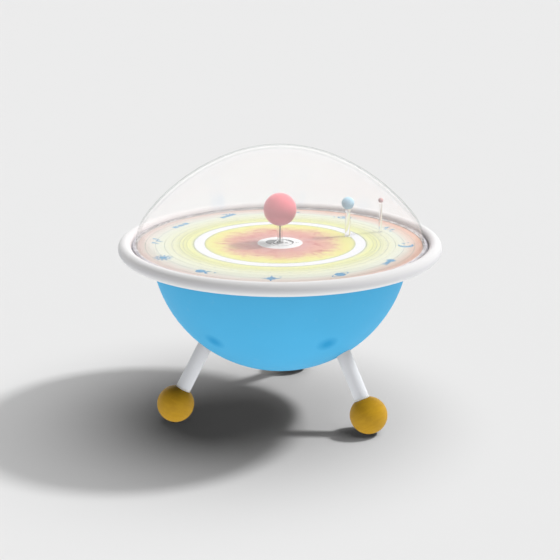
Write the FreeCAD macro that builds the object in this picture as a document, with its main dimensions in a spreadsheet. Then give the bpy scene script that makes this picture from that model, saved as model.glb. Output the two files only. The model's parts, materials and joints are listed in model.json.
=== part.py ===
import FreeCAD, Part
import math
import os
import Sketcher
from FreeCAD import Placement, Rotation, Vector

# A children's orrery machine: a bowl-shaped stand on three legs with ball feet, a white tube rim,
# a printed dial under a clear dome, a fixed sun on a post and two planets that turn around it.
# Millimetres, +Z up, origin on the floor under the middle of the bowl, +Y towards the rear leg.

doc = FreeCAD.newDocument("orrery_machine")
sheet = doc.addObject("Spreadsheet::Sheet", "Dimensions")

DIMENSIONS = {
    # outer shape
    "rim_radius": 575, "rim_tube_radius": 25, "rim_wall": 3, "rim_height": 646,
    "bowl_radius": 480, "bowl_wall": 5, "bowl_centre_height": 655, "bowl_flange_radius": 556,
    "flange_bottom": 632, "bottom_opening_radius": 110,
    "dome_radius": 533.5, "dome_wall": 4, "dome_top": 1015, "dome_cap_radius": 543,
    "dome_cap_edge": 204.6, "dome_middle_radius": 734, "dome_shoulder_radius": 148,
    "dome_flange_radius": 546, "dome_flange_thickness": 5, "gasket_thickness": 1.5,
    # legs and feet
    "foot_circle_radius": 418, "foot_radius": 69.2, "leg_radius": 28, "leg_wall": 2.5,
    "leg_splay": 29, "rear_leg_azimuth": 80.9, "socket_radius": 34, "pad_radius": 18,
    "pad_thickness": 3,
    # dial
    "dial_top": 651.5, "dial_thickness": 6, "inner_dial_radius": 321, "outer_dial_radius": 429,
    "fixed_dial_radius": 549.5, "dial_gap": 1, "dial_hole_radius": 14,
    # sun and planets
    "sun_radius": 61, "sun_height": 779.7, "sun_wall": 3, "post_radius": 12.5,
    "inner_planet_radius": 24, "inner_planet_height": 779.5, "inner_post_radius": 10,
    "inner_planet_x": 256, "inner_planet_y": 98,
    "outer_planet_radius": 9.75, "outer_planet_height": 776.5, "outer_post_radius": 6,
    "outer_planet_x": 384, "outer_planet_y": 158,
    # chassis and drive
    "chassis_bottom": 324, "chassis_thickness": 6, "chassis_radius": 336, "seat_ring_radius": 322,
    "spindle_radius": 12.5, "spindle_bore": 6, "inner_sleeve_radius": 19.5,
    "inner_sleeve_bore": 15.5, "outer_sleeve_radius": 28, "outer_sleeve_bore": 23,
    "gear_module": 2.5, "shaft_distance": 90, "gear_thickness": 10, "countershaft_radius": 6,
    "inner_gear_bottom": 389, "outer_gear_bottom": 447, "spider_bottom": 600,
    "spider_thickness": 6,
    # electrics
    "panel_azimuth": 90, "panel_elevation": -20, "panel_length": 104, "panel_width": 60,
    "lead_radius": 2.5,
}


class Size:
    """A length with the sheet formula that drives it, so one expression gives both."""

    def __init__(self, value, formula):
        self.value = float(value)
        self.formula = formula

    def combine(self, other, sign, value):
        return Size(value, f"({self.formula} {sign} {other.formula})")

    def __add__(self, other):
        other = size(other)
        return self.combine(other, "+", self.value + other.value)

    def __sub__(self, other):
        other = size(other)
        return self.combine(other, "-", self.value - other.value)

    def __mul__(self, other):
        other = size(other)
        return self.combine(other, "*", self.value * other.value)

    def __truediv__(self, other):
        other = size(other)
        return self.combine(other, "/", self.value / other.value)


def size(value):
    return value if isinstance(value, Size) else Size(value, f"({value})")


def root(value):
    return Size(math.sqrt(value.value), f"sqrt({value.formula})")


def leg_of(hypotenuse, side):
    """The other side of a right-angled triangle."""
    hypotenuse, side = size(hypotenuse), size(side)
    return root(hypotenuse * hypotenuse - side * side)


class Dimensions:
    """Attribute access to the sheet's cells."""


def fill_sheet():
    cells = Dimensions()
    for row, (alias, value) in enumerate(DIMENSIONS.items(), start=1):
        sheet.set(f"A{row}", alias.replace("_", " "))
        sheet.set(f"B{row}", str(value))
        sheet.setAlias(f"B{row}", alias)
    doc.recompute()
    for alias in DIMENSIONS:
        setattr(cells, alias, Size(sheet.get(alias), f"Dimensions.{alias}"))
    return cells


dim = fill_sheet()
nodes = []


def bind(obj, prop, value):
    obj.setExpression(prop, size(value).formula)


def node(obj, name):
    """Mark an object as a sub-part with its own name."""
    obj.Label = name
    nodes.append(obj)
    return obj


# ---- Part primitives ---------------------------------------------------------------------------

def place(obj, x=0, y=0, z=0):
    for axis, value in (("x", x), ("y", y), ("z", z)):
        bind(obj, f"Placement.Base.{axis}", value)
    return obj


def cylinder(radius, bottom, top, x=0, y=0):
    obj = doc.addObject("Part::Cylinder", "cylinder")
    bind(obj, "Radius", radius)
    bind(obj, "Height", size(top) - bottom)
    return place(obj, x, y, bottom)


def sphere(radius, x=0, y=0, z=0):
    obj = doc.addObject("Part::Sphere", "sphere")
    bind(obj, "Radius", radius)
    return place(obj, x, y, z)


def box(low, high):
    obj = doc.addObject("Part::Box", "box")
    for prop, start, end in zip(("Length", "Width", "Height"), low, high):
        bind(obj, prop, size(end) - start)
    return place(obj, *low)


def along(obj, point, direction):
    """Stand an upright shape at a point, with its axis along a direction."""
    obj.Placement = Placement(point, Rotation(Vector(0, 0, 1), direction))
    return obj


def rod(radius, point, direction, length):
    obj = doc.addObject("Part::Cylinder", "rod")
    bind(obj, "Radius", radius)
    obj.Height = length
    return along(obj, point, direction)


def fuse(*shapes):
    obj = doc.addObject("Part::MultiFuse", "fuse")
    obj.Shapes = list(shapes)
    return obj


def group(*shapes):
    obj = doc.addObject("Part::Compound", "group")
    obj.Links = list(shapes)
    return obj


def cut(base, *tools):
    obj = doc.addObject("Part::Cut", "cut")
    obj.Base = base
    obj.Tool = tools[0] if len(tools) == 1 else group(*tools)
    return obj


def common(first, second):
    obj = doc.addObject("Part::MultiCommon", "common")
    obj.Shapes = [first, second]
    return obj


def tube(outer, inner, bottom, top, x=0, y=0):
    return cut(cylinder(outer, bottom, top, x, y), cylinder(inner, bottom, top, x, y))


def on_circle(radius, count, start=0, x=0, y=0):
    """Points (x, y) evenly spaced on a circle."""
    angles = [math.radians(start + 360 * i / count) for i in range(count)]
    return [(x + radius * math.cos(a), y + radius * math.sin(a)) for a in angles]


# ---- PartDesign bodies -------------------------------------------------------------------------

def arc_centre(start, end, radius):
    """Centre of the arc: left of the way from start to end for a positive radius."""
    middle = (start + end) * 0.5
    chord = end - start
    side = Vector(-chord.y, chord.x, 0).normalize()
    reach = math.sqrt(radius * radius - chord.Length ** 2 / 4)
    return middle + side * (reach if radius > 0 else -reach)


def arc_edge(start, end, radius):
    centre = arc_centre(start, end, radius)
    first, last = (start, end) if radius > 0 else (end, start)
    circle = Part.Circle(centre, Vector(0, 0, 1), abs(radius))
    angles = [math.atan2(p.y - centre.y, p.x - centre.x) for p in (first, last)]
    return Part.ArcOfCircle(circle, *angles)


def outline(body, plane_role, points):
    """A closed sketch. A point is (x, y) or, where an arc leaves it, (x, y, radius)."""
    sketch = body.newObject("Sketcher::SketchObject", "profile")
    plane = next(f for f in body.Origin.OriginFeatures if f.Role == plane_role)
    sketch.AttachmentSupport = [(plane, "")]
    sketch.MapMode = "FlatFace"
    spots = [(size(p[0]), size(p[1])) for p in points]
    ends = []
    for i, point in enumerate(points):
        here = Vector(spots[i][0].value, spots[i][1].value, 0)
        after = spots[(i + 1) % len(points)]
        there = Vector(after[0].value, after[1].value, 0)
        if len(point) == 2:
            edge = sketch.addGeometry(Part.LineSegment(here, there), False)
            ends.append((edge, 1, 2))
            continue
        radius = size(point[2])
        edge = sketch.addGeometry(arc_edge(here, there, radius.value), False)
        ends.append((edge, 1, 2) if radius.value > 0 else (edge, 2, 1))
        turn = 1 if radius.value > 0 else -1
        index = sketch.addConstraint(Sketcher.Constraint("Radius", edge, abs(radius.value)))
        sketch.setExpression(f"Constraints[{index}]", (radius * turn).formula)
    for i, (edge, begin, _) in enumerate(ends):
        last_edge, _, last_end = ends[i - 1]
        sketch.addConstraint(Sketcher.Constraint("Coincident", last_edge, last_end, edge, begin))
        for kind, axis, value in (("DistanceX", -2, spots[i][0]), ("DistanceY", -1, spots[i][1])):
            if abs(value.value) < 1e-9:
                sketch.addConstraint(Sketcher.Constraint("PointOnObject", edge, begin, axis))
                continue
            index = sketch.addConstraint(
                Sketcher.Constraint(kind, -1, 1, edge, begin, value.value))
            sketch.setExpression(f"Constraints[{index}]", value.formula)
    return sketch


def revolved(name, points):
    """A body of revolution about Z from (radius, height) points."""
    body = doc.addObject("PartDesign::Body", name)
    sketch = outline(body, "XZ_Plane", points)
    turn = body.newObject("PartDesign::Revolution", "revolution")
    turn.Profile = sketch
    turn.ReferenceAxis = (sketch, ["V_Axis"])
    turn.Angle = 360
    return body


def padded(name, plane_role, points, length):
    body = doc.addObject("PartDesign::Body", name)
    pad = body.newObject("PartDesign::Pad", "pad")
    pad.Profile = outline(body, plane_role, points)
    bind(pad, "Length", length)
    return body


def ring(name, outer, inner, bottom, top):
    corners = [(inner, bottom), (outer, bottom), (outer, top), (inner, top)]
    return node(revolved(name, corners), name)


# ---- fasteners ---------------------------------------------------------------------------------

HOLE_CLEARANCE = 0.1
HEX_SOCKET_DEPTH = 2.5


def upright_screw(x, y, seat, length, shank=2.5, head=4.25, head_height=5):
    """A cap screw whose head sits on a level face and whose shank points down."""
    body = fuse(cylinder(head, seat, size(seat) + head_height, x, y),
                cylinder(shank, size(seat) - length, seat, x, y))
    top = size(seat) + head_height
    return cut(body, cylinder(head / 2, top - HEX_SOCKET_DEPTH, top, x, y))


def screw_holes(spots, bottom, top, shank=2.5):
    return [cylinder(shank + HOLE_CLEARANCE, bottom, top, x, y) for x, y in spots]


def rod_screw(point, direction, length, shank=2, head=4, head_height=2.2):
    """A pan head screw that goes in along a direction from its seat."""
    back = direction * -head_height
    body = fuse(rod(head, point + back, direction, head_height),
                rod(shank, point, direction, length))
    recess = rod(head * 0.45, point + back, direction, 1)
    return cut(body, recess)


# ---- stand: bowl, rim and dial seat ------------------------------------------------------------

DIAL_SCREWS = on_circle(515, 12, 15)
COVER_SCREW_RADIUS = 103
COVER_SCREW_AZIMUTHS = (45, 135, 225, 315)
COVER_THICKNESS = 3
LEDGE_INNER_RADIUS = 96
LEDGE_OUTER_RADIUS = 124
LEDGE_STEP = 2.5
COVER_GAP = 0.2
FLANGE_THICKNESS = 5
SPACER_RING = (545, 485)


def bowl_wall_height(radius, sphere_radius):
    return dim.bowl_centre_height - leg_of(sphere_radius, radius)


def polar(radius, azimuth, height=0):
    a = math.radians(azimuth)
    return Vector(radius * math.cos(a), radius * math.sin(a), height)


class Leg:
    """Where one leg runs: from the middle of its ball foot up into the bowl."""

    def __init__(self, name, azimuth):
        splay = math.radians(dim.leg_splay.value)
        inward = polar(-math.sin(splay), azimuth)
        self.name = name
        self.azimuth = azimuth
        self.foot = polar(dim.foot_circle_radius.value, azimuth, dim.foot_radius.value)
        self.axis = Vector(inward.x, inward.y, math.cos(splay))
        self.across = polar(1, azimuth + 90)

    def at_height(self, height):
        return self.foot + self.axis * ((height - self.foot.z) / self.axis.z)


LEGS = [Leg(name, dim.rear_leg_azimuth.value + turn)
        for name, turn in (("rear", 0), ("front_left", 120), ("front_right", 240))]
LEG_TOP = 303
LEG_DEPTH_IN_FOOT = 30
SOCKET_SLEEVE = (270, 335)
SOCKET_FIT = 0.1
LEG_HOLE_FIT = 0.3
SOCKET_TOP = 318
SOCKET_FLANGE_RADIUS = 48
SOCKET_BOLT_CIRCLE = 39
CROSS_BOLT_HEIGHT = 299
CROSS_BOLT_RADIUS = 4
STUD_RADIUS = 5
STUD_DEPTH = 22
STUD_PLUG_LENGTH = 18


def panel_frame():
    """Frame of the power panel: local z points out of the bowl, local x runs level."""
    azimuth = math.radians(dim.panel_azimuth.value)
    elevation = math.radians(dim.panel_elevation.value)
    out = Vector(math.cos(elevation) * math.cos(azimuth),
                 math.cos(elevation) * math.sin(azimuth), math.sin(elevation))
    level = Vector(-math.sin(azimuth), math.cos(azimuth), 0)
    origin = Vector(0, 0, dim.bowl_centre_height.value) + out * dim.bowl_radius.value
    return Placement(origin, Rotation(level, out.cross(level), out, "ZXY"))


PANEL = panel_frame()
PANEL_BACK = -9
PANEL_FACE = 1.5
PANEL_FIT = 0.3


def cover_normal(azimuth):
    """Outward direction of the bowl's bottom at one of the cover's screws."""
    sine = COVER_SCREW_RADIUS / dim.bowl_radius.value
    out = polar(sine, azimuth)
    return Vector(out.x, out.y, -math.sqrt(1 - sine * sine))


def cover_screw_seats():
    centre = Vector(0, 0, dim.bowl_centre_height.value)
    return [(centre + cover_normal(a) * dim.bowl_radius.value, cover_normal(a) * -1)
            for a in COVER_SCREW_AZIMUTHS]


def cover_screw_holes():
    return [rod(2 + HOLE_CLEARANCE, seat - inward * 5, inward, 20)
            for seat, inward in cover_screw_seats()]


def bowl_shell():
    """The bowl with its top flange, and a ledge round the bottom opening for the cover."""
    inside = dim.bowl_radius - dim.bowl_wall
    ledge = inside - LEDGE_STEP
    seat = dim.bowl_radius - COVER_THICKNESS - COVER_GAP
    opening = dim.bottom_opening_radius
    top = dim.flange_bottom + FLANGE_THICKNESS
    below = dim.bowl_centre_height - dim.flange_bottom
    above = dim.bowl_centre_height - top
    blank = revolved("bowl_blank", [
        (opening, bowl_wall_height(opening, dim.bowl_radius), dim.bowl_radius),
        (leg_of(dim.bowl_radius, below), dim.flange_bottom),
        (dim.bowl_flange_radius, dim.flange_bottom),
        (dim.bowl_flange_radius, top),
        (leg_of(inside, above), top, inside * -1),
        (LEDGE_OUTER_RADIUS, bowl_wall_height(LEDGE_OUTER_RADIUS, inside)),
        (LEDGE_OUTER_RADIUS, bowl_wall_height(LEDGE_OUTER_RADIUS, ledge), ledge * -1),
        (LEDGE_INNER_RADIUS, bowl_wall_height(LEDGE_INNER_RADIUS, ledge)),
        (LEDGE_INNER_RADIUS, bowl_wall_height(LEDGE_INNER_RADIUS, seat), seat),
        (opening, bowl_wall_height(opening, seat))])
    holes = [rod(dim.leg_radius + LEG_HOLE_FIT, leg.at_height(200), leg.axis, 200)
             for leg in LEGS]
    half_length = dim.panel_length / 2 + PANEL_FIT
    half_width = dim.panel_width / 2 + PANEL_FIT
    window = group(box((half_length * -1, half_width * -1, -40), (half_length, half_width, 30)))
    window.Placement = PANEL
    screws = screw_holes(DIAL_SCREWS, dim.flange_bottom - 1, top + 1)
    node(cut(blank, *holes, window, *screws, *cover_screw_holes()), "bowl_shell")


def bottom_cover():
    """A vented cap of the bowl's own curvature that lies in the ledge's recess."""
    edge = dim.bottom_opening_radius - 0.4
    inside = dim.bowl_radius - COVER_THICKNESS
    blank = revolved("bottom_cover_blank", [
        (0, dim.bowl_centre_height - dim.bowl_radius, dim.bowl_radius),
        (edge, bowl_wall_height(edge, dim.bowl_radius)),
        (edge, bowl_wall_height(edge, inside), inside * -1),
        (0, dim.bowl_centre_height - inside)])
    node(cut(blank, *cover_vents(), *cover_screw_holes()), "bottom_cover")


def cover_vents():
    """Rings of ventilation holes around the middle of the bottom cover."""
    spots = [spot for radius, count in ((24, 8), (40, 12), (56, 16))
             for spot in on_circle(radius, count)]
    bottom = dim.bowl_centre_height - dim.bowl_radius - 5
    return [cylinder(3, bottom, bottom + 30, x, y) for x, y in spots]


def rim_ring():
    """A rolled edge: a tube wall open where the bowl's flange enters it."""
    middle = dim.rim_radius
    outer = dim.rim_tube_radius
    inner = outer - dim.rim_wall
    lower = dim.rim_height - dim.flange_bottom
    return node(revolved("rim_ring", [
        (middle - outer, dim.rim_height, outer * -1),
        (middle, dim.rim_height + outer, outer * -1),
        (middle + outer, dim.rim_height, outer * -1),
        (middle, dim.rim_height - outer, outer * -1),
        (middle - leg_of(outer, lower), dim.flange_bottom),
        (middle - leg_of(inner, lower), dim.flange_bottom, inner),
        (middle, dim.rim_height - inner, inner),
        (middle + inner, dim.rim_height, inner),
        (middle, dim.rim_height + inner, inner),
        (middle - inner, dim.rim_height)]), "rim_ring")


INNER_PIN_RADIUS = 4
OUTER_PIN_RADIUS = 3


def dial_panels():
    top = dim.dial_top
    bottom = top - dim.dial_thickness
    flange_top = dim.flange_bottom + FLANGE_THICKNESS
    inner_edge = dim.outer_dial_radius + dim.dial_gap
    fixed = tube(dim.fixed_dial_radius, inner_edge, bottom, top)
    pilot = screw_holes(DIAL_SCREWS, bottom - 1, bottom + 4)
    node(cut(fixed, *pilot), "fixed_dial_ring")
    spacer = tube(*SPACER_RING, flange_top, bottom)
    node(cut(spacer, *screw_holes(DIAL_SCREWS, flange_top - 1, bottom + 1)), "dial_spacer_ring")
    outer = tube(dim.outer_dial_radius, dim.inner_dial_radius + dim.dial_gap, bottom, top)
    outer_pin = cylinder(OUTER_PIN_RADIUS + HOLE_CLEARANCE, bottom, top,
                         dim.outer_planet_x, dim.outer_planet_y)
    node(cut(outer, outer_pin), "outer_dial_ring")
    inner = tube(dim.inner_dial_radius, dim.dial_hole_radius, bottom, top)
    inner_pin = cylinder(INNER_PIN_RADIUS + HOLE_CLEARANCE, bottom, top,
                         dim.inner_planet_x, dim.inner_planet_y)
    node(cut(inner, inner_pin), "inner_dial")


# ---- dome --------------------------------------------------------------------------------------

def dome_curve(inset):
    """Ends of the dome's three arcs, from its top down to its upright wall."""
    cap, middle, shoulder = dim.dome_cap_radius, dim.dome_middle_radius, dim.dome_shoulder_radius
    cap_centre = dim.dome_top - cap
    cap_run = dim.dome_cap_edge / cap
    cap_rise = leg_of(cap, dim.dome_cap_edge) / cap
    middle_x = cap_run * (cap - middle)
    middle_z = cap_centre + cap_rise * (cap - middle)
    reach = middle - shoulder
    across = dim.dome_radius - shoulder - middle_x
    up = leg_of(reach, across)
    return [(size(0), dim.dome_top - inset),
            (cap_run * (cap - inset), cap_centre + cap_rise * (cap - inset)),
            (middle_x + across / reach * (middle - inset), middle_z + up / reach * (middle - inset)),
            (dim.dome_radius - inset, middle_z + up)]


def dome():
    wall = dim.dome_wall
    inner_radius = dim.dome_radius - wall
    gasket_top = dim.dial_top + dim.gasket_thickness
    flange_top = gasket_top + dim.dome_flange_thickness
    ring("dome_gasket", dim.dome_flange_radius, inner_radius, dim.dial_top, gasket_top)
    arcs = (dim.dome_cap_radius, dim.dome_middle_radius, dim.dome_shoulder_radius)
    outside = dome_curve(size(0))
    inside = dome_curve(wall)[::-1]
    falling = [(*end, radius * -1) for end, radius in zip(outside, arcs)]
    rising = [(*end, radius - wall) for end, radius in zip(inside, arcs[::-1])]
    node(revolved("dome", [
        *falling, outside[-1],
        (dim.dome_radius, flange_top), (dim.dome_flange_radius, flange_top),
        (dim.dome_flange_radius, gasket_top), (inner_radius, gasket_top),
        *rising, inside[-1]]), "dome")


# ---- legs and feet -----------------------------------------------------------------------------

def socket_zone():
    """The slab of the bowl's inside that the leg sockets may fill."""
    hollow = sphere(dim.bowl_radius - dim.bowl_wall - 0.2, z=dim.bowl_centre_height)
    return common(hollow, cylinder(420, 255, SOCKET_TOP))


def legs_and_feet():
    zone = socket_zone()
    bolts = []
    for leg in LEGS:
        low = leg.foot + leg.axis * (dim.foot_radius.value - LEG_DEPTH_IN_FOOT)
        length = (leg.at_height(LEG_TOP) - low).Length
        cross = leg.at_height(CROSS_BOLT_HEIGHT)
        reach = dim.socket_radius.value
        cross_hole = rod(CROSS_BOLT_RADIUS + HOLE_CLEARANCE, cross - leg.across * 50,
                         leg.across, 100)

        wall = cut(rod(dim.leg_radius, low, leg.axis, length),
                   rod(dim.leg_radius - dim.leg_wall, low, leg.axis, length))
        node(cut(wall, cross_hole), f"leg_{leg.name}")

        start, finish = [leg.at_height(height) for height in SOCKET_SLEEVE]
        long = (finish - start).Length
        sleeve = common(cut(rod(dim.socket_radius, start, leg.axis, long),
                            rod(dim.leg_radius + SOCKET_FIT, start, leg.axis, long)), zone)
        top = leg.at_height(SOCKET_TOP)
        flange = cylinder(SOCKET_FLANGE_RADIUS, SOCKET_TOP, dim.chassis_bottom, top.x, top.y)
        spots = on_circle(SOCKET_BOLT_CIRCLE, 4, leg.azimuth + 45, top.x, top.y)
        holes = screw_holes(spots, SOCKET_TOP - 1, dim.chassis_bottom, shank=3)
        node(cut(fuse(sleeve, flange), cross_hole, *holes), f"leg_socket_{leg.name}")

        bolts.append(rod_screw(cross - leg.across * reach, leg.across, 2 * reach + 6,
                               shank=CROSS_BOLT_RADIUS, head=6.5, head_height=5))
        seat = dim.chassis_bottom + dim.chassis_thickness
        bolts += [upright_screw(x, y, seat, 12, shank=3, head=5, head_height=4)
                  for x, y in spots]
        foot(leg, low)
    node(group(*bolts), "leg_bolts")


def foot(leg, leg_end):
    ball = sphere(dim.foot_radius, leg.foot.x, leg.foot.y, dim.foot_radius)
    under = cylinder(60, -10, dim.pad_thickness, leg.foot.x, leg.foot.y)
    bore = rod(dim.leg_radius + SOCKET_FIT, leg_end, leg.axis, 60)
    stud_hole = rod(STUD_RADIUS + HOLE_CLEARANCE, leg_end - leg.axis * (STUD_DEPTH + 2),
                    leg.axis, 40)
    node(cut(ball, under, bore, stud_hole), f"foot_ball_{leg.name}")
    node(cylinder(dim.pad_radius, 0, dim.pad_thickness, leg.foot.x, leg.foot.y),
         f"foot_pad_{leg.name}")


def foot_studs():
    """A threaded stud in each ball with the plug that it holds inside the leg tube."""
    studs = []
    for leg in LEGS:
        end = leg.foot + leg.axis * (dim.foot_radius.value - LEG_DEPTH_IN_FOOT)
        plug = rod(dim.leg_radius - dim.leg_wall - SOCKET_FIT, end, leg.axis, STUD_PLUG_LENGTH)
        stud = rod(STUD_RADIUS, end - leg.axis * STUD_DEPTH, leg.axis, STUD_DEPTH + 8)
        studs.append(fuse(plug, stud))
    node(group(*studs), "foot_studs")


# ---- chassis -----------------------------------------------------------------------------------

SEAT_SCREWS = on_circle(329, 12, 5)
SPINDLE_SCREWS = on_circle(32, 6, 30)
MOTOR_SCREWS = on_circle(22, 4, 45, dim.shaft_distance.value, 0)
BRACKET_SCREWS = [(152, -14), (152, 14), (162, -14), (162, 14)]
LEAD_HOLES = [(-60, -175), (-30, -190)]
LEAD_HOLE_RADIUS = 6
MOTOR_SHAFT_HOLE_RADIUS = 12
SEAT_RING_HEIGHT = 12


def socket_bolt_spots():
    spots = []
    for leg in LEGS:
        top = leg.at_height(SOCKET_TOP)
        spots += on_circle(SOCKET_BOLT_CIRCLE, 4, leg.azimuth + 45, top.x, top.y)
    return spots


def chassis():
    bottom = dim.chassis_bottom
    top = bottom + dim.chassis_thickness
    plate = cylinder(dim.chassis_radius, bottom, top)
    small = screw_holes(SEAT_SCREWS + SPINDLE_SCREWS + MOTOR_SCREWS + BRACKET_SCREWS,
                        bottom, top)
    bolts = screw_holes(socket_bolt_spots(), bottom, top, shank=3)
    shaft = cylinder(MOTOR_SHAFT_HOLE_RADIUS, bottom, top, dim.shaft_distance, 0)
    leads = [cylinder(LEAD_HOLE_RADIUS, bottom, top, x, y) for x, y in LEAD_HOLES + [(0, 0)]]
    node(cut(plate, *small, *bolts, shaft, *leads), "chassis_plate")

    inside = dim.bowl_radius - dim.bowl_wall - 0.1
    low = bottom - SEAT_RING_HEIGHT
    seat = revolved("seat_ring_blank", [
        (dim.seat_ring_radius, low),
        (leg_of(inside, dim.bowl_centre_height - low), low, inside),
        (leg_of(inside, dim.bowl_centre_height - bottom), bottom),
        (dim.seat_ring_radius, bottom)])
    sockets = [leg.at_height(SOCKET_TOP) for leg in LEGS]
    gaps = [cylinder(SOCKET_FLANGE_RADIUS + 1, low - 1, bottom + 1, p.x, p.y) for p in sockets]
    threads = screw_holes(SEAT_SCREWS, bottom - 9, bottom)
    node(cut(seat, *gaps, *threads), "chassis_seat_ring")

    screws = [upright_screw(x, y, top, 14) for x, y in SEAT_SCREWS + MOTOR_SCREWS]
    screws += [upright_screw(x, y, top + 10, 15) for x, y in SPINDLE_SCREWS]
    screws += [upright_screw(x, y, top + 8, 13) for x, y in BRACKET_SCREWS]
    node(group(*screws), "chassis_screws")


# ---- spindle, sun and sleeves ------------------------------------------------------------------

SPINDLE_TOP = 655
SPINDLE_FLANGE = (42, 10)
SPINDLE_SHOULDER_RADIUS = 19
SPIGOT_LENGTH = 18
SPIGOT_RADIUS = 8
RUNNING_FIT = 0.06
BUSH_LENGTH = 18
THRUST_GAP = 0.3
INNER_SLEEVE_BOTTOM = 372
OUTER_SLEEVE_BOTTOM = 432
THRUST_COLLAR = (26, 8)
GEAR_COLLAR_HEIGHT = 6
HUB_THICKNESS = 8
INNER_HUB_RADIUS = 120
OUTER_HUB_RADIUS = 52
LAMP_SEAT_RADIUS = 9


def spindle():
    bottom = dim.chassis_bottom + dim.chassis_thickness
    flange_radius, flange_height = SPINDLE_FLANGE
    shoulder = INNER_SLEEVE_BOTTOM - THRUST_GAP
    socket = SPIGOT_RADIUS + HOLE_CLEARANCE
    socket_bottom = SPINDLE_TOP - SPIGOT_LENGTH - 2
    shaft = revolved("spindle_blank", [
        (dim.spindle_bore, bottom), (flange_radius, bottom),
        (flange_radius, bottom + flange_height),
        (SPINDLE_SHOULDER_RADIUS, bottom + flange_height),
        (SPINDLE_SHOULDER_RADIUS, shoulder), (dim.spindle_radius, shoulder),
        (dim.spindle_radius, SPINDLE_TOP), (socket, SPINDLE_TOP), (socket, socket_bottom),
        (dim.spindle_bore, socket_bottom)])
    holes = screw_holes(SPINDLE_SCREWS, bottom - 1, bottom + flange_height + 1)
    node(cut(shaft, *holes), "spindle")


def sun():
    """Post, globe and lamp of the sun. Gives back the height where the lamp's lead starts."""
    shoulder = dim.sun_height - dim.sun_radius + 8
    base = shoulder + 10
    spigot_bottom = SPINDLE_TOP - SPIGOT_LENGTH
    node(revolved("sun_post", [
        (dim.spindle_bore, spigot_bottom), (SPIGOT_RADIUS, spigot_bottom),
        (SPIGOT_RADIUS, SPINDLE_TOP), (dim.post_radius, SPINDLE_TOP),
        (dim.post_radius, shoulder), (LAMP_SEAT_RADIUS, shoulder), (LAMP_SEAT_RADIUS, base),
        (dim.spindle_bore, base)]), "sun_post")
    inside = dim.sun_radius - dim.sun_wall
    hole = dim.post_radius + HOLE_CLEARANCE
    node(revolved("sun_globe", [
        (hole, dim.sun_height - leg_of(dim.sun_radius, hole), dim.sun_radius),
        (dim.sun_radius, dim.sun_height, dim.sun_radius),
        (0, dim.sun_height + dim.sun_radius),
        (0, dim.sun_height + inside, inside * -1),
        (inside, dim.sun_height, inside * -1),
        (hole, dim.sun_height - leg_of(inside, hole))]), "sun_globe")
    cap, bulb = 15, 11
    node(revolved("sun_lamp", [
        (0, base), (cap, base), (cap, base + 12), (bulb, base + 14), (bulb, base + 26, bulb),
        (0, base + 26 + bulb)]), "sun_lamp")
    return base


def inner_sleeve():
    """The sleeve around the spindle, with the hub under the inner dial."""
    panel = dim.dial_top - dim.dial_thickness
    hub = panel - HUB_THICKNESS
    bore = dim.inner_sleeve_bore
    wall = dim.inner_sleeve_radius
    collar = dim.inner_gear_bottom + dim.gear_thickness
    thrust_radius, thrust_height = THRUST_COLLAR
    thrust_top = OUTER_SLEEVE_BOTTOM - THRUST_GAP
    hub_holes = [cylinder(22, hub, panel, x, y) for x, y in on_circle(80, 6)]
    blank = revolved("inner_sleeve_blank", [
        (bore, INNER_SLEEVE_BOTTOM), (wall, INNER_SLEEVE_BOTTOM), (wall, collar), (24, collar),
        (24, collar + GEAR_COLLAR_HEIGHT), (wall, collar + GEAR_COLLAR_HEIGHT),
        (wall, thrust_top - thrust_height), (thrust_radius, thrust_top - thrust_height),
        (thrust_radius, thrust_top), (wall, thrust_top), (wall, hub), (INNER_HUB_RADIUS, hub),
        (INNER_HUB_RADIUS, panel), (bore, panel)])
    node(cut(blank, *hub_holes), "inner_sleeve")
    bushes = [tube(bore, dim.spindle_radius + RUNNING_FIT, low, low + BUSH_LENGTH)
              for low in (size(INNER_SLEEVE_BOTTOM), hub - BUSH_LENGTH)]
    node(group(*bushes), "inner_bushes")


def outer_sleeve():
    """The sleeve around the inner one, with the hub under the spider."""
    bore = dim.outer_sleeve_bore
    wall = dim.outer_sleeve_radius
    collar = dim.outer_gear_bottom + dim.gear_thickness
    top = dim.spider_bottom
    node(revolved("outer_sleeve", [
        (bore, OUTER_SLEEVE_BOTTOM), (wall, OUTER_SLEEVE_BOTTOM), (wall, collar), (33, collar),
        (33, collar + GEAR_COLLAR_HEIGHT), (wall, collar + GEAR_COLLAR_HEIGHT),
        (wall, top - HUB_THICKNESS), (OUTER_HUB_RADIUS, top - HUB_THICKNESS),
        (OUTER_HUB_RADIUS, top), (bore, top)]), "outer_sleeve")
    bushes = [tube(bore, dim.inner_sleeve_radius + RUNNING_FIT, low, low + BUSH_LENGTH)
              for low in (size(OUTER_SLEEVE_BOTTOM), top - BUSH_LENGTH)]
    node(group(*bushes), "outer_bushes")


SPIDER_ARMS = 6
SPIDER_HUB_RADIUS = 90
SPIDER_RING = (428, 396)
ARM_LENGTH = 410
ARM_WIDTH = 30
STANDOFF_CIRCLES = (336, 414)
STANDOFF_RADIUS = 6


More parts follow.
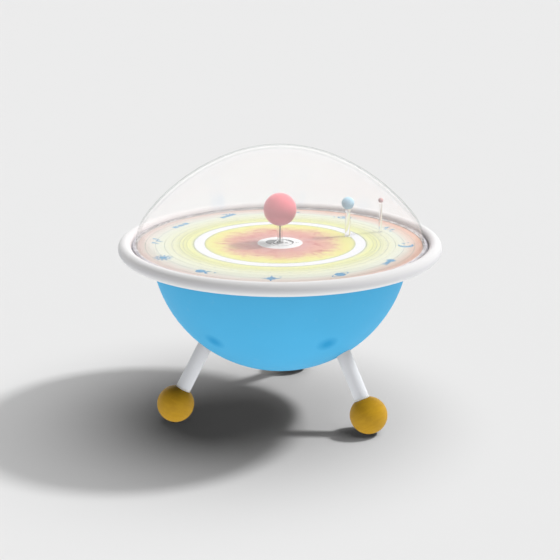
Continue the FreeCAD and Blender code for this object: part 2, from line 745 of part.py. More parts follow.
def spider():
    """Hub, arms and ring that carry the outer dial ring on standoffs."""
    low = dim.spider_bottom
    high = low + dim.spider_thickness
    parts = [cylinder(SPIDER_HUB_RADIUS, low, high), tube(*SPIDER_RING, low, high)]
    for i in range(SPIDER_ARMS):
        arm = doc.addObject("Part::Box", "arm")
        bind(arm, "Length", ARM_LENGTH)
        bind(arm, "Width", ARM_WIDTH)
        bind(arm, "Height", dim.spider_thickness)
        turn = Rotation(Vector(0, 0, 1), 360 * i / SPIDER_ARMS)
        corner = turn.multVec(Vector(0, -ARM_WIDTH / 2, 0))
        arm.Placement = Placement(corner + Vector(0, 0, low.value), turn)
        parts.append(arm)
    node(cut(fuse(*parts), cylinder(dim.outer_sleeve_bore, low - 1, high + 1)), "outer_spider")
    under_dial = dim.dial_top - dim.dial_thickness
    posts = [cylinder(STANDOFF_RADIUS, high, under_dial, x, y)
             for radius in STANDOFF_CIRCLES for x, y in on_circle(radius, SPIDER_ARMS)]
    node(group(*posts), "spider_standoffs")


def planet(name, radius, height, post_radius, x, y, pin):
    """A ball on a post whose thin pin goes through the dial."""
    joint = height - leg_of(radius, post_radius) + 1.5
    post = fuse(cylinder(post_radius, dim.dial_top, joint, x, y),
                cylinder(pin, dim.dial_top - dim.dial_thickness, dim.dial_top, x, y))
    node(post, f"{name}_planet_post")
    ball = cut(sphere(radius, x, y, height), cylinder(post_radius, height - radius - 5, joint, x, y))
    node(ball, f"{name}_planet")


# ---- gears and countershaft --------------------------------------------------------------------

PRESSURE_ANGLE = math.radians(20)
BACKLASH = 0.3
INNER_TEETH, INNER_PINION_TEETH = 47, 25
OUTER_TEETH, OUTER_PINION_TEETH = 56, 16
FLANK_POINTS = 6


def involute(angle):
    return math.tan(angle) - angle


def tooth_flank(teeth, pitch, tip, start):
    """Points (radius, half angle) on one side of a tooth, from its root end to its tip."""
    base = pitch * math.cos(PRESSURE_ANGLE)
    thickness = math.pi * pitch / teeth - BACKLASH / 2
    half = thickness / (2 * pitch) + involute(PRESSURE_ANGLE)
    flank = []
    for i in range(FLANK_POINTS):
        radius = start + (tip - start) * i / (FLANK_POINTS - 1)
        flank.append((radius, half - involute(math.acos(min(1, base / radius)))))
    return flank


def gear_face(teeth, first_tooth):
    """The outline of a spur gear about the origin, first tooth at the given angle."""
    module = dim.gear_module.value
    pitch = module * teeth / 2
    tip, foot_radius = pitch + module, pitch - 1.25 * module
    start = max(foot_radius + 0.05, pitch * math.cos(PRESSURE_ANGLE))
    flank = tooth_flank(teeth, pitch, tip, start)
    foot_angle = flank[0][1]
    edges = []
    step = 2 * math.pi / teeth
    for i in range(teeth):
        middle = first_tooth + i * step
        rising = [spot(r, middle - a) for r, a in flank]
        falling = [spot(r, middle + a) for r, a in reversed(flank)]
        edges.append(Part.LineSegment(spot(foot_radius, middle - foot_angle), rising[0]))
        edges.append(spline(rising))
        edges.append(Part.Arc(rising[-1], spot(tip, middle), falling[0]))
        edges.append(spline(falling))
        edges.append(Part.LineSegment(falling[-1], spot(foot_radius, middle + foot_angle)))
        edges.append(Part.Arc(spot(foot_radius, middle + foot_angle),
                              spot(foot_radius, middle + step / 2),
                              spot(foot_radius, middle + step - foot_angle)))
    return Part.Face(Part.Wire([edge.toShape() for edge in edges]))


def spot(radius, angle):
    return Vector(radius * math.cos(angle), radius * math.sin(angle), 0)


def spline(points):
    curve = Part.BSplineCurve()
    curve.interpolate(points)
    return curve


def gear(name, teeth, bore, bottom, first_tooth, x=0, windows=0):
    """A spur gear. windows is the number of round lightening holes in its web."""
    thickness = dim.gear_thickness.value
    solid = gear_face(teeth, first_tooth).extrude(Vector(0, 0, thickness))
    solid = solid.cut(Part.makeCylinder(bore.value, thickness))
    web = (bore.value + dim.gear_module.value * teeth / 2) / 2
    for wx, wy in on_circle(web, windows) if windows else []:
        solid = solid.cut(Part.makeCylinder(8, thickness, Vector(wx, wy, 0)))
    feature = doc.addObject("Part::Feature", name)
    feature.Shape = solid
    feature.Placement = Placement(Vector(x, 0, bottom.value), Rotation())
    return node(feature, name)


COUNTERSHAFT_TOP = 482
MOTOR_SHAFT_RADIUS = 4
MOTOR_SHAFT_BOTTOM = 312
COUPLING_RADIUS = 14
COUPLING_HEIGHTS = (338, 350, 362)
COUPLING_GROOVES = (7, 11, 15)


def drive():
    distance = dim.shaft_distance
    shaft = dim.countershaft_radius
    half_tooth = {teeth: math.pi / teeth for teeth in (INNER_TEETH, OUTER_TEETH)}
    gear("inner_gear", INNER_TEETH, dim.inner_sleeve_radius, dim.inner_gear_bottom,
         half_tooth[INNER_TEETH], windows=6)
    gear("outer_gear", OUTER_TEETH, dim.outer_sleeve_radius, dim.outer_gear_bottom,
         half_tooth[OUTER_TEETH], windows=6)
    gear("inner_pinion", INNER_PINION_TEETH, shaft, dim.inner_gear_bottom, math.pi,
         distance.value)
    gear("outer_pinion", OUTER_PINION_TEETH, shaft, dim.outer_gear_bottom, math.pi,
         distance.value)
    low, middle, high = COUPLING_HEIGHTS
    node(cylinder(shaft, middle, COUNTERSHAFT_TOP, distance), "countershaft")
    node(cylinder(MOTOR_SHAFT_RADIUS, MOTOR_SHAFT_BOTTOM, middle, distance), "motor_shaft")
    coupling = cut(cylinder(COUPLING_RADIUS, low, high, distance),
                   cylinder(MOTOR_SHAFT_RADIUS, low, middle, distance),
                   cylinder(shaft, middle, high, distance))
    grooves = [tube(COUPLING_RADIUS + 1, COUPLING_RADIUS - 2, low + rise, low + rise + 1.5,
                    distance) for rise in COUPLING_GROOVES]
    node(cut(coupling, *grooves), "shaft_coupling")
    bracket()
    gearmotor()


BEARING_ARMS = (368, 466)
ARM_THICKNESS = 12
BRACKET_WIDTH = 40
BRACKET_FOOT = (128, 172, 8)
BRACKET_BACK = 140
BRACKET_NOSE = 74
SHAFT_BUSH_RADIUS = 10
SHAFT_FIT = 0.04


def bracket():
    """A C-shaped plate bracket that holds the countershaft in two bushes."""
    foot = (dim.chassis_bottom + dim.chassis_thickness).value
    lower, upper = BEARING_ARMS
    inner, outer, thick = BRACKET_FOOT
    side = padded("bracket_blank", "XZ_Plane", [
        (inner, foot), (outer, foot), (outer, foot + thick), (BRACKET_BACK, foot + thick),
        (BRACKET_BACK, upper + ARM_THICKNESS), (BRACKET_NOSE, upper + ARM_THICKNESS),
        (BRACKET_NOSE, upper), (inner, upper), (inner, lower + ARM_THICKNESS),
        (BRACKET_NOSE, lower + ARM_THICKNESS), (BRACKET_NOSE, lower), (inner, lower)],
        BRACKET_WIDTH)
    side.Placement.Base.y = BRACKET_WIDTH / 2
    bores = cylinder(SHAFT_BUSH_RADIUS, lower - 8, upper + 14, dim.shaft_distance)
    holes = screw_holes(BRACKET_SCREWS, foot - 1, foot + thick + 1)
    node(cut(side, bores, *holes), "countershaft_bracket")
    bushes = [tube(SHAFT_BUSH_RADIUS, dim.countershaft_radius + SHAFT_FIT, z,
                   z + ARM_THICKNESS, dim.shaft_distance) for z in BEARING_ARMS]
    node(group(*bushes), "countershaft_bushes")


GEARBOX_RADIUS = 30
GEARBOX_HEIGHT = 38
MOTOR_RADIUS = 21
MOTOR_HEIGHT = 60
MOTOR_BOSS = (10, 6)
MOTOR_CAP = (8, 6)


def gearmotor():
    x = dim.shaft_distance
    top = dim.chassis_bottom
    split = top - GEARBOX_HEIGHT
    bottom = split - MOTOR_HEIGHT
    boss_radius, boss_height = MOTOR_BOSS
    cap_radius, cap_height = MOTOR_CAP
    housing = fuse(cylinder(GEARBOX_RADIUS, split, top, x),
                   cylinder(MOTOR_RADIUS, bottom, split, x),
                   cylinder(boss_radius, top, top + boss_height, x),
                   cylinder(cap_radius, bottom - cap_height, bottom, x))
    shaft_hole = cylinder(MOTOR_SHAFT_RADIUS + 0.3, top - 13, top + boss_height + 1, x)
    threads = screw_holes(MOTOR_SCREWS, top - 10, top)
    node(cut(housing, shaft_hole, *threads), "gearmotor")


# ---- electrics ---------------------------------------------------------------------------------

def on_panel(obj, name):
    obj.Placement = PANEL
    return node(obj, name)


INLET_X = -25
INLET_BACK = -24
SWITCH_X = 25
PANEL_SCREWS = [(-47, -23), (-47, 23), (47, -23), (47, 23)]
CUTOUT_X = 14
CUTOUT_Y = 11
CUTOUT_FIT = 0.2
BEZEL_X = 17
BEZEL_Y = 14
PANEL_WALL = 3
PIN_SPACING = 7


def centred(x, half_x, half_y, low, high):
    return box((x - half_x, -half_y, low), (x + half_x, half_y, high))


def power_panel():
    half_length = dim.panel_length / 2
    half_width = dim.panel_width / 2
    tray = box((half_length * -1, half_width * -1, PANEL_BACK),
               (half_length, half_width, PANEL_FACE))
    hollow = box((half_length * -1 + PANEL_WALL, half_width * -1 + PANEL_WALL, PANEL_BACK - 1),
                 (half_length - PANEL_WALL, half_width - PANEL_WALL, PANEL_FACE - PANEL_WALL))
    cutouts = [centred(x, CUTOUT_X, CUTOUT_Y, -20, 5) for x in (INLET_X, SWITCH_X)]
    holes = [cylinder(2 + HOLE_CLEARANCE, -20, 5, x, y) for x, y in PANEL_SCREWS]
    on_panel(cut(tray, hollow, *cutouts, *holes), "power_panel")

    half_x, half_y = CUTOUT_X - CUTOUT_FIT, CUTOUT_Y - CUTOUT_FIT
    body = fuse(centred(INLET_X, half_x, half_y, INLET_BACK, PANEL_FACE),
                centred(INLET_X, BEZEL_X, BEZEL_Y, PANEL_FACE, PANEL_FACE + 2))
    socket = cut(body, centred(INLET_X, 11.5, 8, -13, 5))
    pins = [centred(INLET_X + i * PIN_SPACING, 1, 2.5, -14, -2) for i in (-1, 0, 1)]
    on_panel(fuse(socket, *pins), "inlet_socket")

    frame = fuse(centred(SWITCH_X, half_x, half_y, -20, PANEL_FACE),
                 centred(SWITCH_X, BEZEL_X, BEZEL_Y, PANEL_FACE, PANEL_FACE + 2.5))
    on_panel(cut(frame, centred(SWITCH_X, 12.2, 9, -11, 5)), "switch_body")


ROCKER_TILT = 10
ROCKER_WIDTH = 17


def switch_rocker():
    """The rocker: a shallow V on top, resting tilted to its off side."""
    blank = padded("rocker_blank", "XZ_Plane", [
        (10.5, -4), (11.3, 3.5), (0, 1.8), (-11.3, 3.5), (-10.5, -4), (0, -5)], ROCKER_WIDTH)
    middle = Placement(Vector(0, ROCKER_WIDTH / 2, 0), Rotation())
    tilt = Placement(Vector(SWITCH_X, 0, 0), Rotation(Vector(0, 1, 0), ROCKER_TILT))
    blank.Placement = PANEL.multiply(tilt).multiply(middle)
    node(blank, "switch_rocker")


def casing_screws():
    """Dial, panel and bottom cover screws, all alike."""
    down_seat = dim.flange_bottom.value
    screws = [rod_screw(Vector(x, y, down_seat), Vector(0, 0, 1), 15, shank=2.5)
              for x, y in DIAL_SCREWS]
    into_panel = PANEL.Rotation.multVec(Vector(0, 0, -1))
    screws += [rod_screw(PANEL.multVec(Vector(x, y, PANEL_FACE)), into_panel, 3.5)
               for x, y in PANEL_SCREWS]
    screws += [rod_screw(seat, inward, 7) for seat, inward in cover_screw_seats()]
    node(group(*screws), "casing_screws")


PSU_CENTRE = (-190, 0)
PSU_HALF = (55, 35)
PSU_HEIGHT = 38
VENT_PITCH = 10
VENT_COUNT = 9
BOARD_CENTRE = (-60, -190)
BOARD_HALF = (40, 30)
BOARD_STANDOFF = 10
BOARD_THICKNESS = 1.6
LAMP_LEAD_LEVEL = 285
MOTOR_LEAD_LEVEL = 250
MAINS_LEAD_LEVEL = 470


def power_supply():
    cx, cy = PSU_CENTRE
    half_x, half_y = PSU_HALF
    low = dim.chassis_bottom + dim.chassis_thickness
    case = box((cx - half_x, cy - half_y, low), (cx + half_x, cy + half_y, low + PSU_HEIGHT))
    starts = [cx - half_x + 15 + VENT_PITCH * i for i in range(VENT_COUNT)]
    vents = [box((x, cy - half_y - 1, low + 10), (x + 4, cy + half_y + 1, low + 28))
             for x in starts]
    core = box((cx - half_x + 5, cy - half_y + 4, low + 4),
               (cx + half_x - 5, cy + half_y - 4, low + PSU_HEIGHT - 4))
    node(fuse(cut(case, *vents), core), "power_supply")


def control_board():
    cx, cy = BOARD_CENTRE
    half_x, half_y = BOARD_HALF
    low = dim.chassis_bottom + dim.chassis_thickness
    under = low + BOARD_STANDOFF
    face = under + BOARD_THICKNESS
    board = box((cx - half_x, cy - half_y, under), (cx + half_x, cy + half_y, face))
    legs = [cylinder(3, low, under, cx + x, cy + y) for x in (-35, 35) for y in (-25, 25)]
    chips = [box((cx - 30, cy - 8, face), (cx - 10, cy + 12, face + 3.4)),
             box((cx + 6, cy - 20, face), (cx + 32, cy - 10, face + 9.4)),
             cylinder(6, face, face + 15.4, cx + 14, cy + 14),
             cylinder(5, face, face + 12.4, cx - 22, cy - 21)]
    node(fuse(board, *legs, *chips), "control_board")


def lead(name, points, bend):
    """A round lead along straight runs joined by tangent arcs."""
    edges = []
    start = points[0]
    for before, corner, after in zip(points, points[1:], points[2:]):
        back = (before - corner).normalize()
        ahead = (after - corner).normalize()
        half = (math.pi - back.getAngle(ahead)) / 2
        trim = bend * math.tan(half)
        inward = (back + ahead).normalize()
        middle = corner + inward * (bend / math.cos(half) - bend)
        enter, leave = corner + back * trim, corner + ahead * trim
        edges += [Part.LineSegment(start, enter), Part.Arc(enter, middle, leave)]
        start = leave
    edges.append(Part.LineSegment(start, points[-1]))
    path = Part.Wire([edge.toShape() for edge in edges])
    radius = dim.lead_radius.value
    circle = Part.Circle(points[0], points[1] - points[0], radius).toShape()
    solid = path.makePipeShell([Part.Wire(circle)], True, False)
    expected = math.pi * radius ** 2 * path.Length
    if abs(solid.Volume - expected) > 0.01 * expected:
        raise RuntimeError(f"{name}: the lead's volume doesn't match its length")
    feature = doc.addObject("Part::Feature", name)
    feature.Shape = solid
    return node(feature, name)


def leads(lamp_base):
    top = (dim.chassis_bottom + dim.chassis_thickness).value
    board = top + BOARD_STANDOFF
    (lamp_x, lamp_y), (motor_x, motor_y) = LEAD_HOLES
    lead("lamp_lead", [Vector(0, 0, lamp_base.value), Vector(0, 0, LAMP_LEAD_LEVEL),
                       Vector(lamp_x, lamp_y, LAMP_LEAD_LEVEL), Vector(lamp_x, lamp_y, board)], 25)
    x = dim.shaft_distance.value
    level = MOTOR_LEAD_LEVEL
    lead("motor_lead", [Vector(x, -MOTOR_RADIUS, level), Vector(x, -100, level),
                        Vector(motor_x, motor_y, level), Vector(motor_x, motor_y, board)], 30)
    back = PANEL.multVec(Vector(INLET_X, 0, INLET_BACK))
    inner = PANEL.multVec(Vector(INLET_X, 0, INLET_BACK - 66))
    cx, cy = PSU_CENTRE
    lead("mains_lead", [back, inner, Vector(cx, cy + 15, MAINS_LEAD_LEVEL),
                        Vector(cx, cy + 15, top + PSU_HEIGHT)], 30)


# ---- assembly ----------------------------------------------------------------------------------

def build():
    bowl_shell()
    bottom_cover()
    rim_ring()
    dial_panels()
    dome()
    legs_and_feet()
    foot_studs()
    chassis()
    spindle()
    lamp_base = sun()
    inner_sleeve()
    outer_sleeve()
    spider()
    planet("inner", dim.inner_planet_radius, dim.inner_planet_height, dim.inner_post_radius,
           dim.inner_planet_x, dim.inner_planet_y, INNER_PIN_RADIUS)
    planet("outer", dim.outer_planet_radius, dim.outer_planet_height, dim.outer_post_radius,
           dim.outer_planet_x, dim.outer_planet_y, OUTER_PIN_RADIUS)
    drive()
    power_panel()
    switch_rocker()
    casing_screws()
    power_supply()
    control_board()
    leads(lamp_base)


def check():
    failed = [obj.Label for obj in doc.Objects
              if "Invalid" in obj.State or "Error" in obj.State]
    failed += [obj.Label for obj in nodes if obj.Shape.isNull() or not obj.Shape.isValid()]
    if failed:
        raise RuntimeError("these objects failed: " + ", ".join(failed))


def export():
    os.makedirs("parts", exist_ok=True)
    for obj in nodes:
        obj.Shape.exportStep(f"parts/{obj.Label}.step")
    print(len(nodes), "sub-parts written")


build()
doc.recompute()
check()
export()
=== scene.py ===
import json
import math

import bmesh
import bpy
from mathutils import Matrix, Vector


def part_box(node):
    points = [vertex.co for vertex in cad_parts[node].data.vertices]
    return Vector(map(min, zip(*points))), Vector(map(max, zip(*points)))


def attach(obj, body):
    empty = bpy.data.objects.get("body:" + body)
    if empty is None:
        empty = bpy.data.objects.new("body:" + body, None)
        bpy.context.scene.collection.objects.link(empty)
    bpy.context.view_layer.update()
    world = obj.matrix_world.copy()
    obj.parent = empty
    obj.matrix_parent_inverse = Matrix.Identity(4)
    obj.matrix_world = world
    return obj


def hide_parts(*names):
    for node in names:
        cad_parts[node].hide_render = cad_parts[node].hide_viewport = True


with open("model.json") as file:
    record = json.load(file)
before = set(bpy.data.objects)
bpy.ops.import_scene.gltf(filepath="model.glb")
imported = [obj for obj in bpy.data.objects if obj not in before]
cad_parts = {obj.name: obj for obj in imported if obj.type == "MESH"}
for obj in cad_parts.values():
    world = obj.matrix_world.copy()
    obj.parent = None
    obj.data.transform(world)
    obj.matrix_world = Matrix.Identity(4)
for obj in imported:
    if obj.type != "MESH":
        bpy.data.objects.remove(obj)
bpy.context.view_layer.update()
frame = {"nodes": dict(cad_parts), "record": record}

# Looks of the orrery machine: detailed meshes for what shows, and procedural materials for every
# piece. Metres, +Z up, origin on the floor under the bowl, seen from -Y.

MM = 0.001

# ---- sizes, some of them read from the frame ---------------------------------------------------

RIM_LOW, RIM_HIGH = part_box("rim_ring")
RIM_TUBE = (RIM_HIGH.z - RIM_LOW.z) / 2
RIM_MIDDLE = RIM_HIGH.x - RIM_TUBE
RIM_LEVEL = (RIM_HIGH.z + RIM_LOW.z) / 2
RIM_WALL = 3 * MM

BOWL_RADIUS = 480 * MM
BOWL_WALL = 5 * MM
BOWL_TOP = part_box("bowl_shell")[1].z
FLANGE_LOW = BOWL_TOP - BOWL_WALL
FLANGE_FILLET = 4 * MM
FLANGE_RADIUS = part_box("bowl_shell")[1].x
BOWL_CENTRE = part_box("bottom_cover")[0].z + BOWL_RADIUS
COVER_RADIUS = 110 * MM

DIAL_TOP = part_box("inner_dial")[1].z
DOME_LOW, DOME_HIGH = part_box("dome")
DOME_RADIUS = 533.5 * MM      # outside of the wall, just over the flange
DOME_WALL = 4 * MM
DOME_CAP = 543 * MM           # radius of the arc over the middle
DOME_CAP_EDGE = 204.6 * MM    # how far out that arc reaches
DOME_MIDDLE = 734 * MM        # radius of the flatter arc round it
DOME_SHOULDER = 148 * MM      # radius of the arc that comes down to the wall
DOME_FLANGE = DOME_HIGH.x
DOME_FLANGE_TOP = DOME_LOW.z + 5 * MM
DOME_BLEND = 4 * MM           # radius between wall and flange
DOME_LIP = 2 * MM             # radius at the flange's edge

FOOT_RADIUS = 69.2 * MM
FOOT_CIRCLE = 418 * MM
LEG_SPLAY = math.radians(29)
LEG_RADIUS = 28 * MM
LEG_AZIMUTHS = {"rear": 80.9, "front_left": 200.9, "front_right": 320.9}
PAD_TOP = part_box("foot_pad_rear")[1].z

LEG_WALL = 2.5 * MM
LEG_START = FOOT_RADIUS - 30 * MM
LEG_TOP_HEIGHT = 303 * MM
SOCKET_DEPTH = math.sqrt(FOOT_RADIUS ** 2 - LEG_RADIUS ** 2)
SOCKET_GAP = 0.1 * MM
SOCKET_LIP = 2.2 * MM
FERRULE_RADIUS = LEG_RADIUS + 0.9 * MM
FERRULE_FIT = LEG_RADIUS + 0.02 * MM
FERRULE_SPAN = (63.6 * MM, 68 * MM)
FERRULE_SLOPE = 0.8 * MM

PANEL_TILT = math.radians(-20)
PANEL_WIDTH = 60 * MM
WINDOW_GAP = 0.3 * MM
WINDOW_DEPTH = 35 * MM        # either way from the bowl's skin

POST_RADII = {"sun_globe": 12.5 * MM, "inner_planet": 10 * MM, "outer_planet": 6 * MM}
POST_FIT = 0.06 * MM
COLLAR_REACH = 0.9 * MM

BOWL_SEGMENTS = 160
RIM_SEGMENTS = 224
DOME_SEGMENTS = 192
BALL_SEGMENTS = 96
LEG_SEGMENTS = 64
POST_SEGMENTS = 48

SHARP_ANGLE = math.radians(35)
CAD_SHARP_ANGLE = math.radians(30)
ON_AXIS = 1e-6                # a profile point nearer the axis than this lies on it
TRIM_LIMIT = 0.45             # the most of an edge that the rounding at one end may take


# ---- mesh building -----------------------------------------------------------------------------

def shade_smoothly(mesh, sharp=SHARP_ANGLE):
    mesh.shade_smooth()
    mesh.set_sharp_from_angle(angle=sharp)


def add_mesh(name, verts, faces, smooth=True):
    mesh = bpy.data.meshes.new(name)
    mesh.from_pydata(verts, [], faces)
    mesh.validate()
    work = bmesh.new()
    work.from_mesh(mesh)
    bmesh.ops.recalc_face_normals(work, faces=work.faces)
    work.to_mesh(mesh)
    work.free()
    if smooth:
        shade_smoothly(mesh)
    obj = bpy.data.objects.new(name, mesh)
    bpy.context.scene.collection.objects.link(obj)
    return obj


def around(reach, azimuth, height):
    """A point at that reach from the Z axis. The azimuth is in degrees from +X."""
    a = math.radians(azimuth)
    return Vector((reach * math.cos(a), reach * math.sin(a), height))


def arc(centre, radius, start, end, steps):
    """Points (radius, height) on an arc. Angles in degrees: 0 is outward and 90 is up."""
    angles = [math.radians(start + (end - start) * i / steps) for i in range(steps + 1)]
    return [(centre[0] + radius * math.cos(a), centre[1] + radius * math.sin(a)) for a in angles]


def lathe(name, profile, segments, closed=True, matrix=None):
    """Turns a profile of (radius, height) points about Z. A closed one ends where it starts."""
    verts, rows = [], []
    for radius, height in profile:
        if radius < ON_AXIS:
            rows.append([len(verts)] * segments)
            verts.append((0.0, 0.0, height))
            continue
        rows.append(list(range(len(verts), len(verts) + segments)))
        for i in range(segments):
            a = 2 * math.pi * i / segments
            verts.append((radius * math.cos(a), radius * math.sin(a), height))
    faces = []
    pairs = list(zip(rows, rows[1:])) + ([(rows[-1], rows[0])] if closed else [])
    for low, high in pairs:
        for i in range(segments):
            j = (i + 1) % segments
            corners = [low[i], low[j], high[j], high[i]]
            unique = [c for k, c in enumerate(corners) if c not in corners[:k]]
            if len(unique) > 2:
                faces.append(unique)
    obj = add_mesh(name, verts, faces)
    if matrix is not None:
        obj.data.transform(matrix)
    return obj


def rounded(points, radius, steps=4):
    """A closed profile with rounded corners. A corner given twice, or on the axis, stays sharp."""
    out = []
    count = len(points)
    for i, here in enumerate(points):
        before, after = Vector(points[i - 1]), Vector(points[(i + 1) % count])
        corner = Vector(here)
        back, ahead = before - corner, after - corner
        if here[0] < ON_AXIS or not back.length or not ahead.length:
            out.append(tuple(here))
            continue
        trim = min(radius, back.length * TRIM_LIMIT, ahead.length * TRIM_LIMIT)
        enter, leave = corner + back.normalized() * trim, corner + ahead.normalized() * trim
        for k in range(steps + 1):
            t = k / steps
            point = enter * (1 - t) ** 2 + corner * 2 * t * (1 - t) + leave * t ** 2
            out.append((point.x, point.y))
    return out


def piece(obj, body, material, *nodes, slot):
    """Gives a piece its material, lets it ride on its body and stand for its CAD nodes."""
    obj.data.materials.clear()
    obj.data.materials.append(material)
    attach(obj, body)
    if nodes:
        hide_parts(*nodes)
    return obj


# ---- material building -------------------------------------------------------------------------

# ShaderNodeMix keeps a set of sockets for each kind of data.
MIX_NUMBERS = (2, 3)
MIX_COLOURS = (6, 7)
MIX_NUMBER_OUT = 0
MIX_COLOUR_OUT = 2
FACES_UP = 0.7                # least upward part of a normal on a face that looks up


class Field:
    """A number in a node tree, with arithmetic that adds math nodes."""

    def __init__(self, tree, socket):
        self.tree = tree
        self.socket = socket

    def math(self, operation, *others):
        made = self.tree.nodes.new("ShaderNodeMath")
        made.operation = operation
        for entry, value in zip(made.inputs, (self, *others)):
            if isinstance(value, Field):
                self.tree.links.new(value.socket, entry)
            else:
                entry.default_value = value
        return Field(self.tree, made.outputs[0])

    def __add__(self, other):
        return self.math("ADD", other)

    def __sub__(self, other):
        return self.math("SUBTRACT", other)

    def __mul__(self, other):
        return self.math("MULTIPLY", other)

    def __truediv__(self, other):
        return self.math("DIVIDE", other)

    def above(self, other):
        return self.math("GREATER_THAN", other)

    def below(self, other):
        return self.math("LESS_THAN", other)

    def larger(self, other):
        return self.math("MAXIMUM", other)

    def clamped(self):
        return self.math("MINIMUM", 1.0).larger(0.0)

    def flipped(self):
        return self.math("MULTIPLY", -1.0) + 1.0

    def near(self, centre, width):
        """1 at centre, falling to 0 at that distance from it."""
        return ((self - centre).math("ABSOLUTE") / width).flipped().larger(0.0)

    def step(self, start, end):
        """0 before start, 1 after end, straight between them."""
        return ((self - start) / (end - start)).clamped()


def largest(fields):
    result, *rest = fields
    for field in rest:
        result = result.larger(field)
    return result


def distance(*parts):
    """How long a line is, from its length along each axis."""
    first, *rest = parts
    total = first * first
    for part in rest:
        total = total + part * part
    return total.math("SQRT")


def fill_ramp(node, stops):
    """Gives a colour ramp its stops, which come in order."""
    elements = node.color_ramp.elements
    for position, _ in stops[2:]:
        elements.new(position)
    for element, (position, colour) in zip(elements, stops):
        element.position = position
        element.color = (*colour, 1.0)


class Finish:
    """A Principled material under construction."""

    def __init__(self, name):
        self.material = bpy.data.materials.new(name)
        self.material.use_nodes = True
        self.tree = self.material.node_tree
        self.shader = self.tree.nodes["Principled BSDF"]
        self.output = self.tree.nodes["Material Output"]
        self.place = self.tree.nodes.new("ShaderNodeTexCoord").outputs["Object"]

    def link(self, value, entry):
        self.tree.links.new(value.socket if isinstance(value, Field) else value, entry)

    def set(self, **values):
        """Sets the shader's sockets by name, with underscores for spaces."""
        for key, value in values.items():
            entry = self.shader.inputs[key.replace("_", " ")]
            if isinstance(value, (int, float)):
                entry.default_value = value
            else:
                self.link(value, entry)

    def turn_into(self, matrix):
        """Lets the pattern follow a piece's own axes, as when it was turned on a lathe."""
        back = matrix.inverted()
        mapping = self.tree.nodes.new("ShaderNodeMapping")
        mapping.inputs["Location"].default_value = back.translation
        mapping.inputs["Rotation"].default_value = back.to_euler()
        self.link(self.place, mapping.inputs["Vector"])
        self.place = mapping.outputs[0]

    def axes(self):
        split = self.tree.nodes.new("ShaderNodeSeparateXYZ")
        self.link(self.place, split.inputs[0])
        return [Field(self.tree, out) for out in split.outputs]

    def vector(self, x, y, z):
        joined = self.tree.nodes.new("ShaderNodeCombineXYZ")
        for entry, value in zip(joined.inputs, (x, y, z)):
            if isinstance(value, Field):
                self.link(value, entry)
            else:
                entry.default_value = value
        return joined.outputs[0]

    def noise(self, scale, detail=2, rough=0.5, warp=0, stretch=None, place=None):
        """Noise with about scale features to the metre, unless it is stretched or placed."""
        made = self.tree.nodes.new("ShaderNodeTexNoise")
        made.inputs["Scale"].default_value = scale
        made.inputs["Detail"].default_value = detail
        made.inputs["Roughness"].default_value = rough
        made.inputs["Distortion"].default_value = warp
        source = place or self.place
        if stretch:
            mapping = self.tree.nodes.new("ShaderNodeMapping")
            mapping.inputs["Scale"].default_value = stretch
            self.link(source, mapping.inputs["Vector"])
            source = mapping.outputs[0]
        self.link(source, made.inputs["Vector"])
        return Field(self.tree, made.outputs["Fac"])

    def ramp(self, value, stops):
        made = self.tree.nodes.new("ShaderNodeValToRGB")
        fill_ramp(made, stops)
        self.link(value, made.inputs["Fac"])
        return made.outputs["Color"]

    def mix(self, share, first, second):
        """The first colour where share is 0, and the second where it is 1."""
        made = self.tree.nodes.new("ShaderNodeMix")
        made.data_type = "RGBA"
        self.link(share, made.inputs["Factor"])
        for index, colour in zip(MIX_COLOURS, (first, second)):
            if isinstance(colour, tuple):
                made.inputs[index].default_value = (*colour, 1.0)
            else:
                self.link(colour, made.inputs[index])
        return made.outputs[MIX_COLOUR_OUT]

    def bump(self, height, depth, strength):
        made = self.tree.nodes.new("ShaderNodeBump")
        made.inputs["Strength"].default_value = strength
        made.inputs["Distance"].default_value = depth
        self.link(height, made.inputs["Height"])
        self.link(made.outputs[0], self.shader.inputs["Normal"])

    def facing_up(self):
        geometry = self.tree.nodes.new("ShaderNodeNewGeometry")
        split = self.tree.nodes.new("ShaderNodeSeparateXYZ")
        self.link(geometry.outputs["Normal"], split.inputs[0])
        return Field(self.tree, split.outputs[2]).above(FACES_UP)


def shade(colour, factor):
    return tuple(min(1.0, c * factor) for c in colour)


def spread_of(colour, spread):
    """The darker and the lighter end of a colour that varies by that share."""
    return shade(colour, 1 - spread), shade(colour, 1 + spread)


def plastic(name, colour, rough=0.45, grain=900, depth=0.05, coat=0.0, spread=0.08):
    """Moulded plastic, rubber or lacquer: fine grain, soft blotches and worn roughness."""
    finish = Finish(name)
    blotch = finish.noise(7, detail=3)
    scuff = finish.noise(60, detail=4, rough=0.65)
    finish.set(
        Base_Color=finish.mix(blotch, *spread_of(colour, spread)),
        Roughness=scuff * 0.18 + (rough - 0.09), Coat_Weight=coat, Coat_Roughness=0.12)
    finish.bump(finish.noise(grain, detail=2), depth * MM, 0.35)
    return finish.material


def metal(name, colour, rough=0.28, stretch=(1, 1, 40), spread=0.1):
    """Metal with tool marks along its stretch and a little tarnish."""
    finish = Finish(name)
    marks = finish.noise(90, detail=3, rough=0.6, stretch=stretch)
    tarnish = finish.noise(16, detail=4, rough=0.6)
    finish.set(
        Base_Color=finish.mix(tarnish, *spread_of(colour, spread)),
        Metallic=1.0, Roughness=marks * 0.2 + (rough - 0.1))
    finish.bump(marks, 0.03 * MM, 0.4)
    return finish.material


# ---- the machine's own materials ---------------------------------------------------------------

BOWL_BLUE = (0.096, 0.505, 0.855)
BOWL_SCUFF = (0.45, 0.66, 0.86)
# painted shade: the darker blue in the bowl's dimples
DIMPLE_PAINTED_SHADE = (0.018, 0.33, 0.68)
# azimuth in degrees, height
DIMPLES = ((-127.5, 368 * MM), (-64.5, 375 * MM), (112.5, 372 * MM))
DIMPLE_SIZE = 46 * MM
DIMPLE_SQUASH = 1.15          # how much wider than high a dimple is


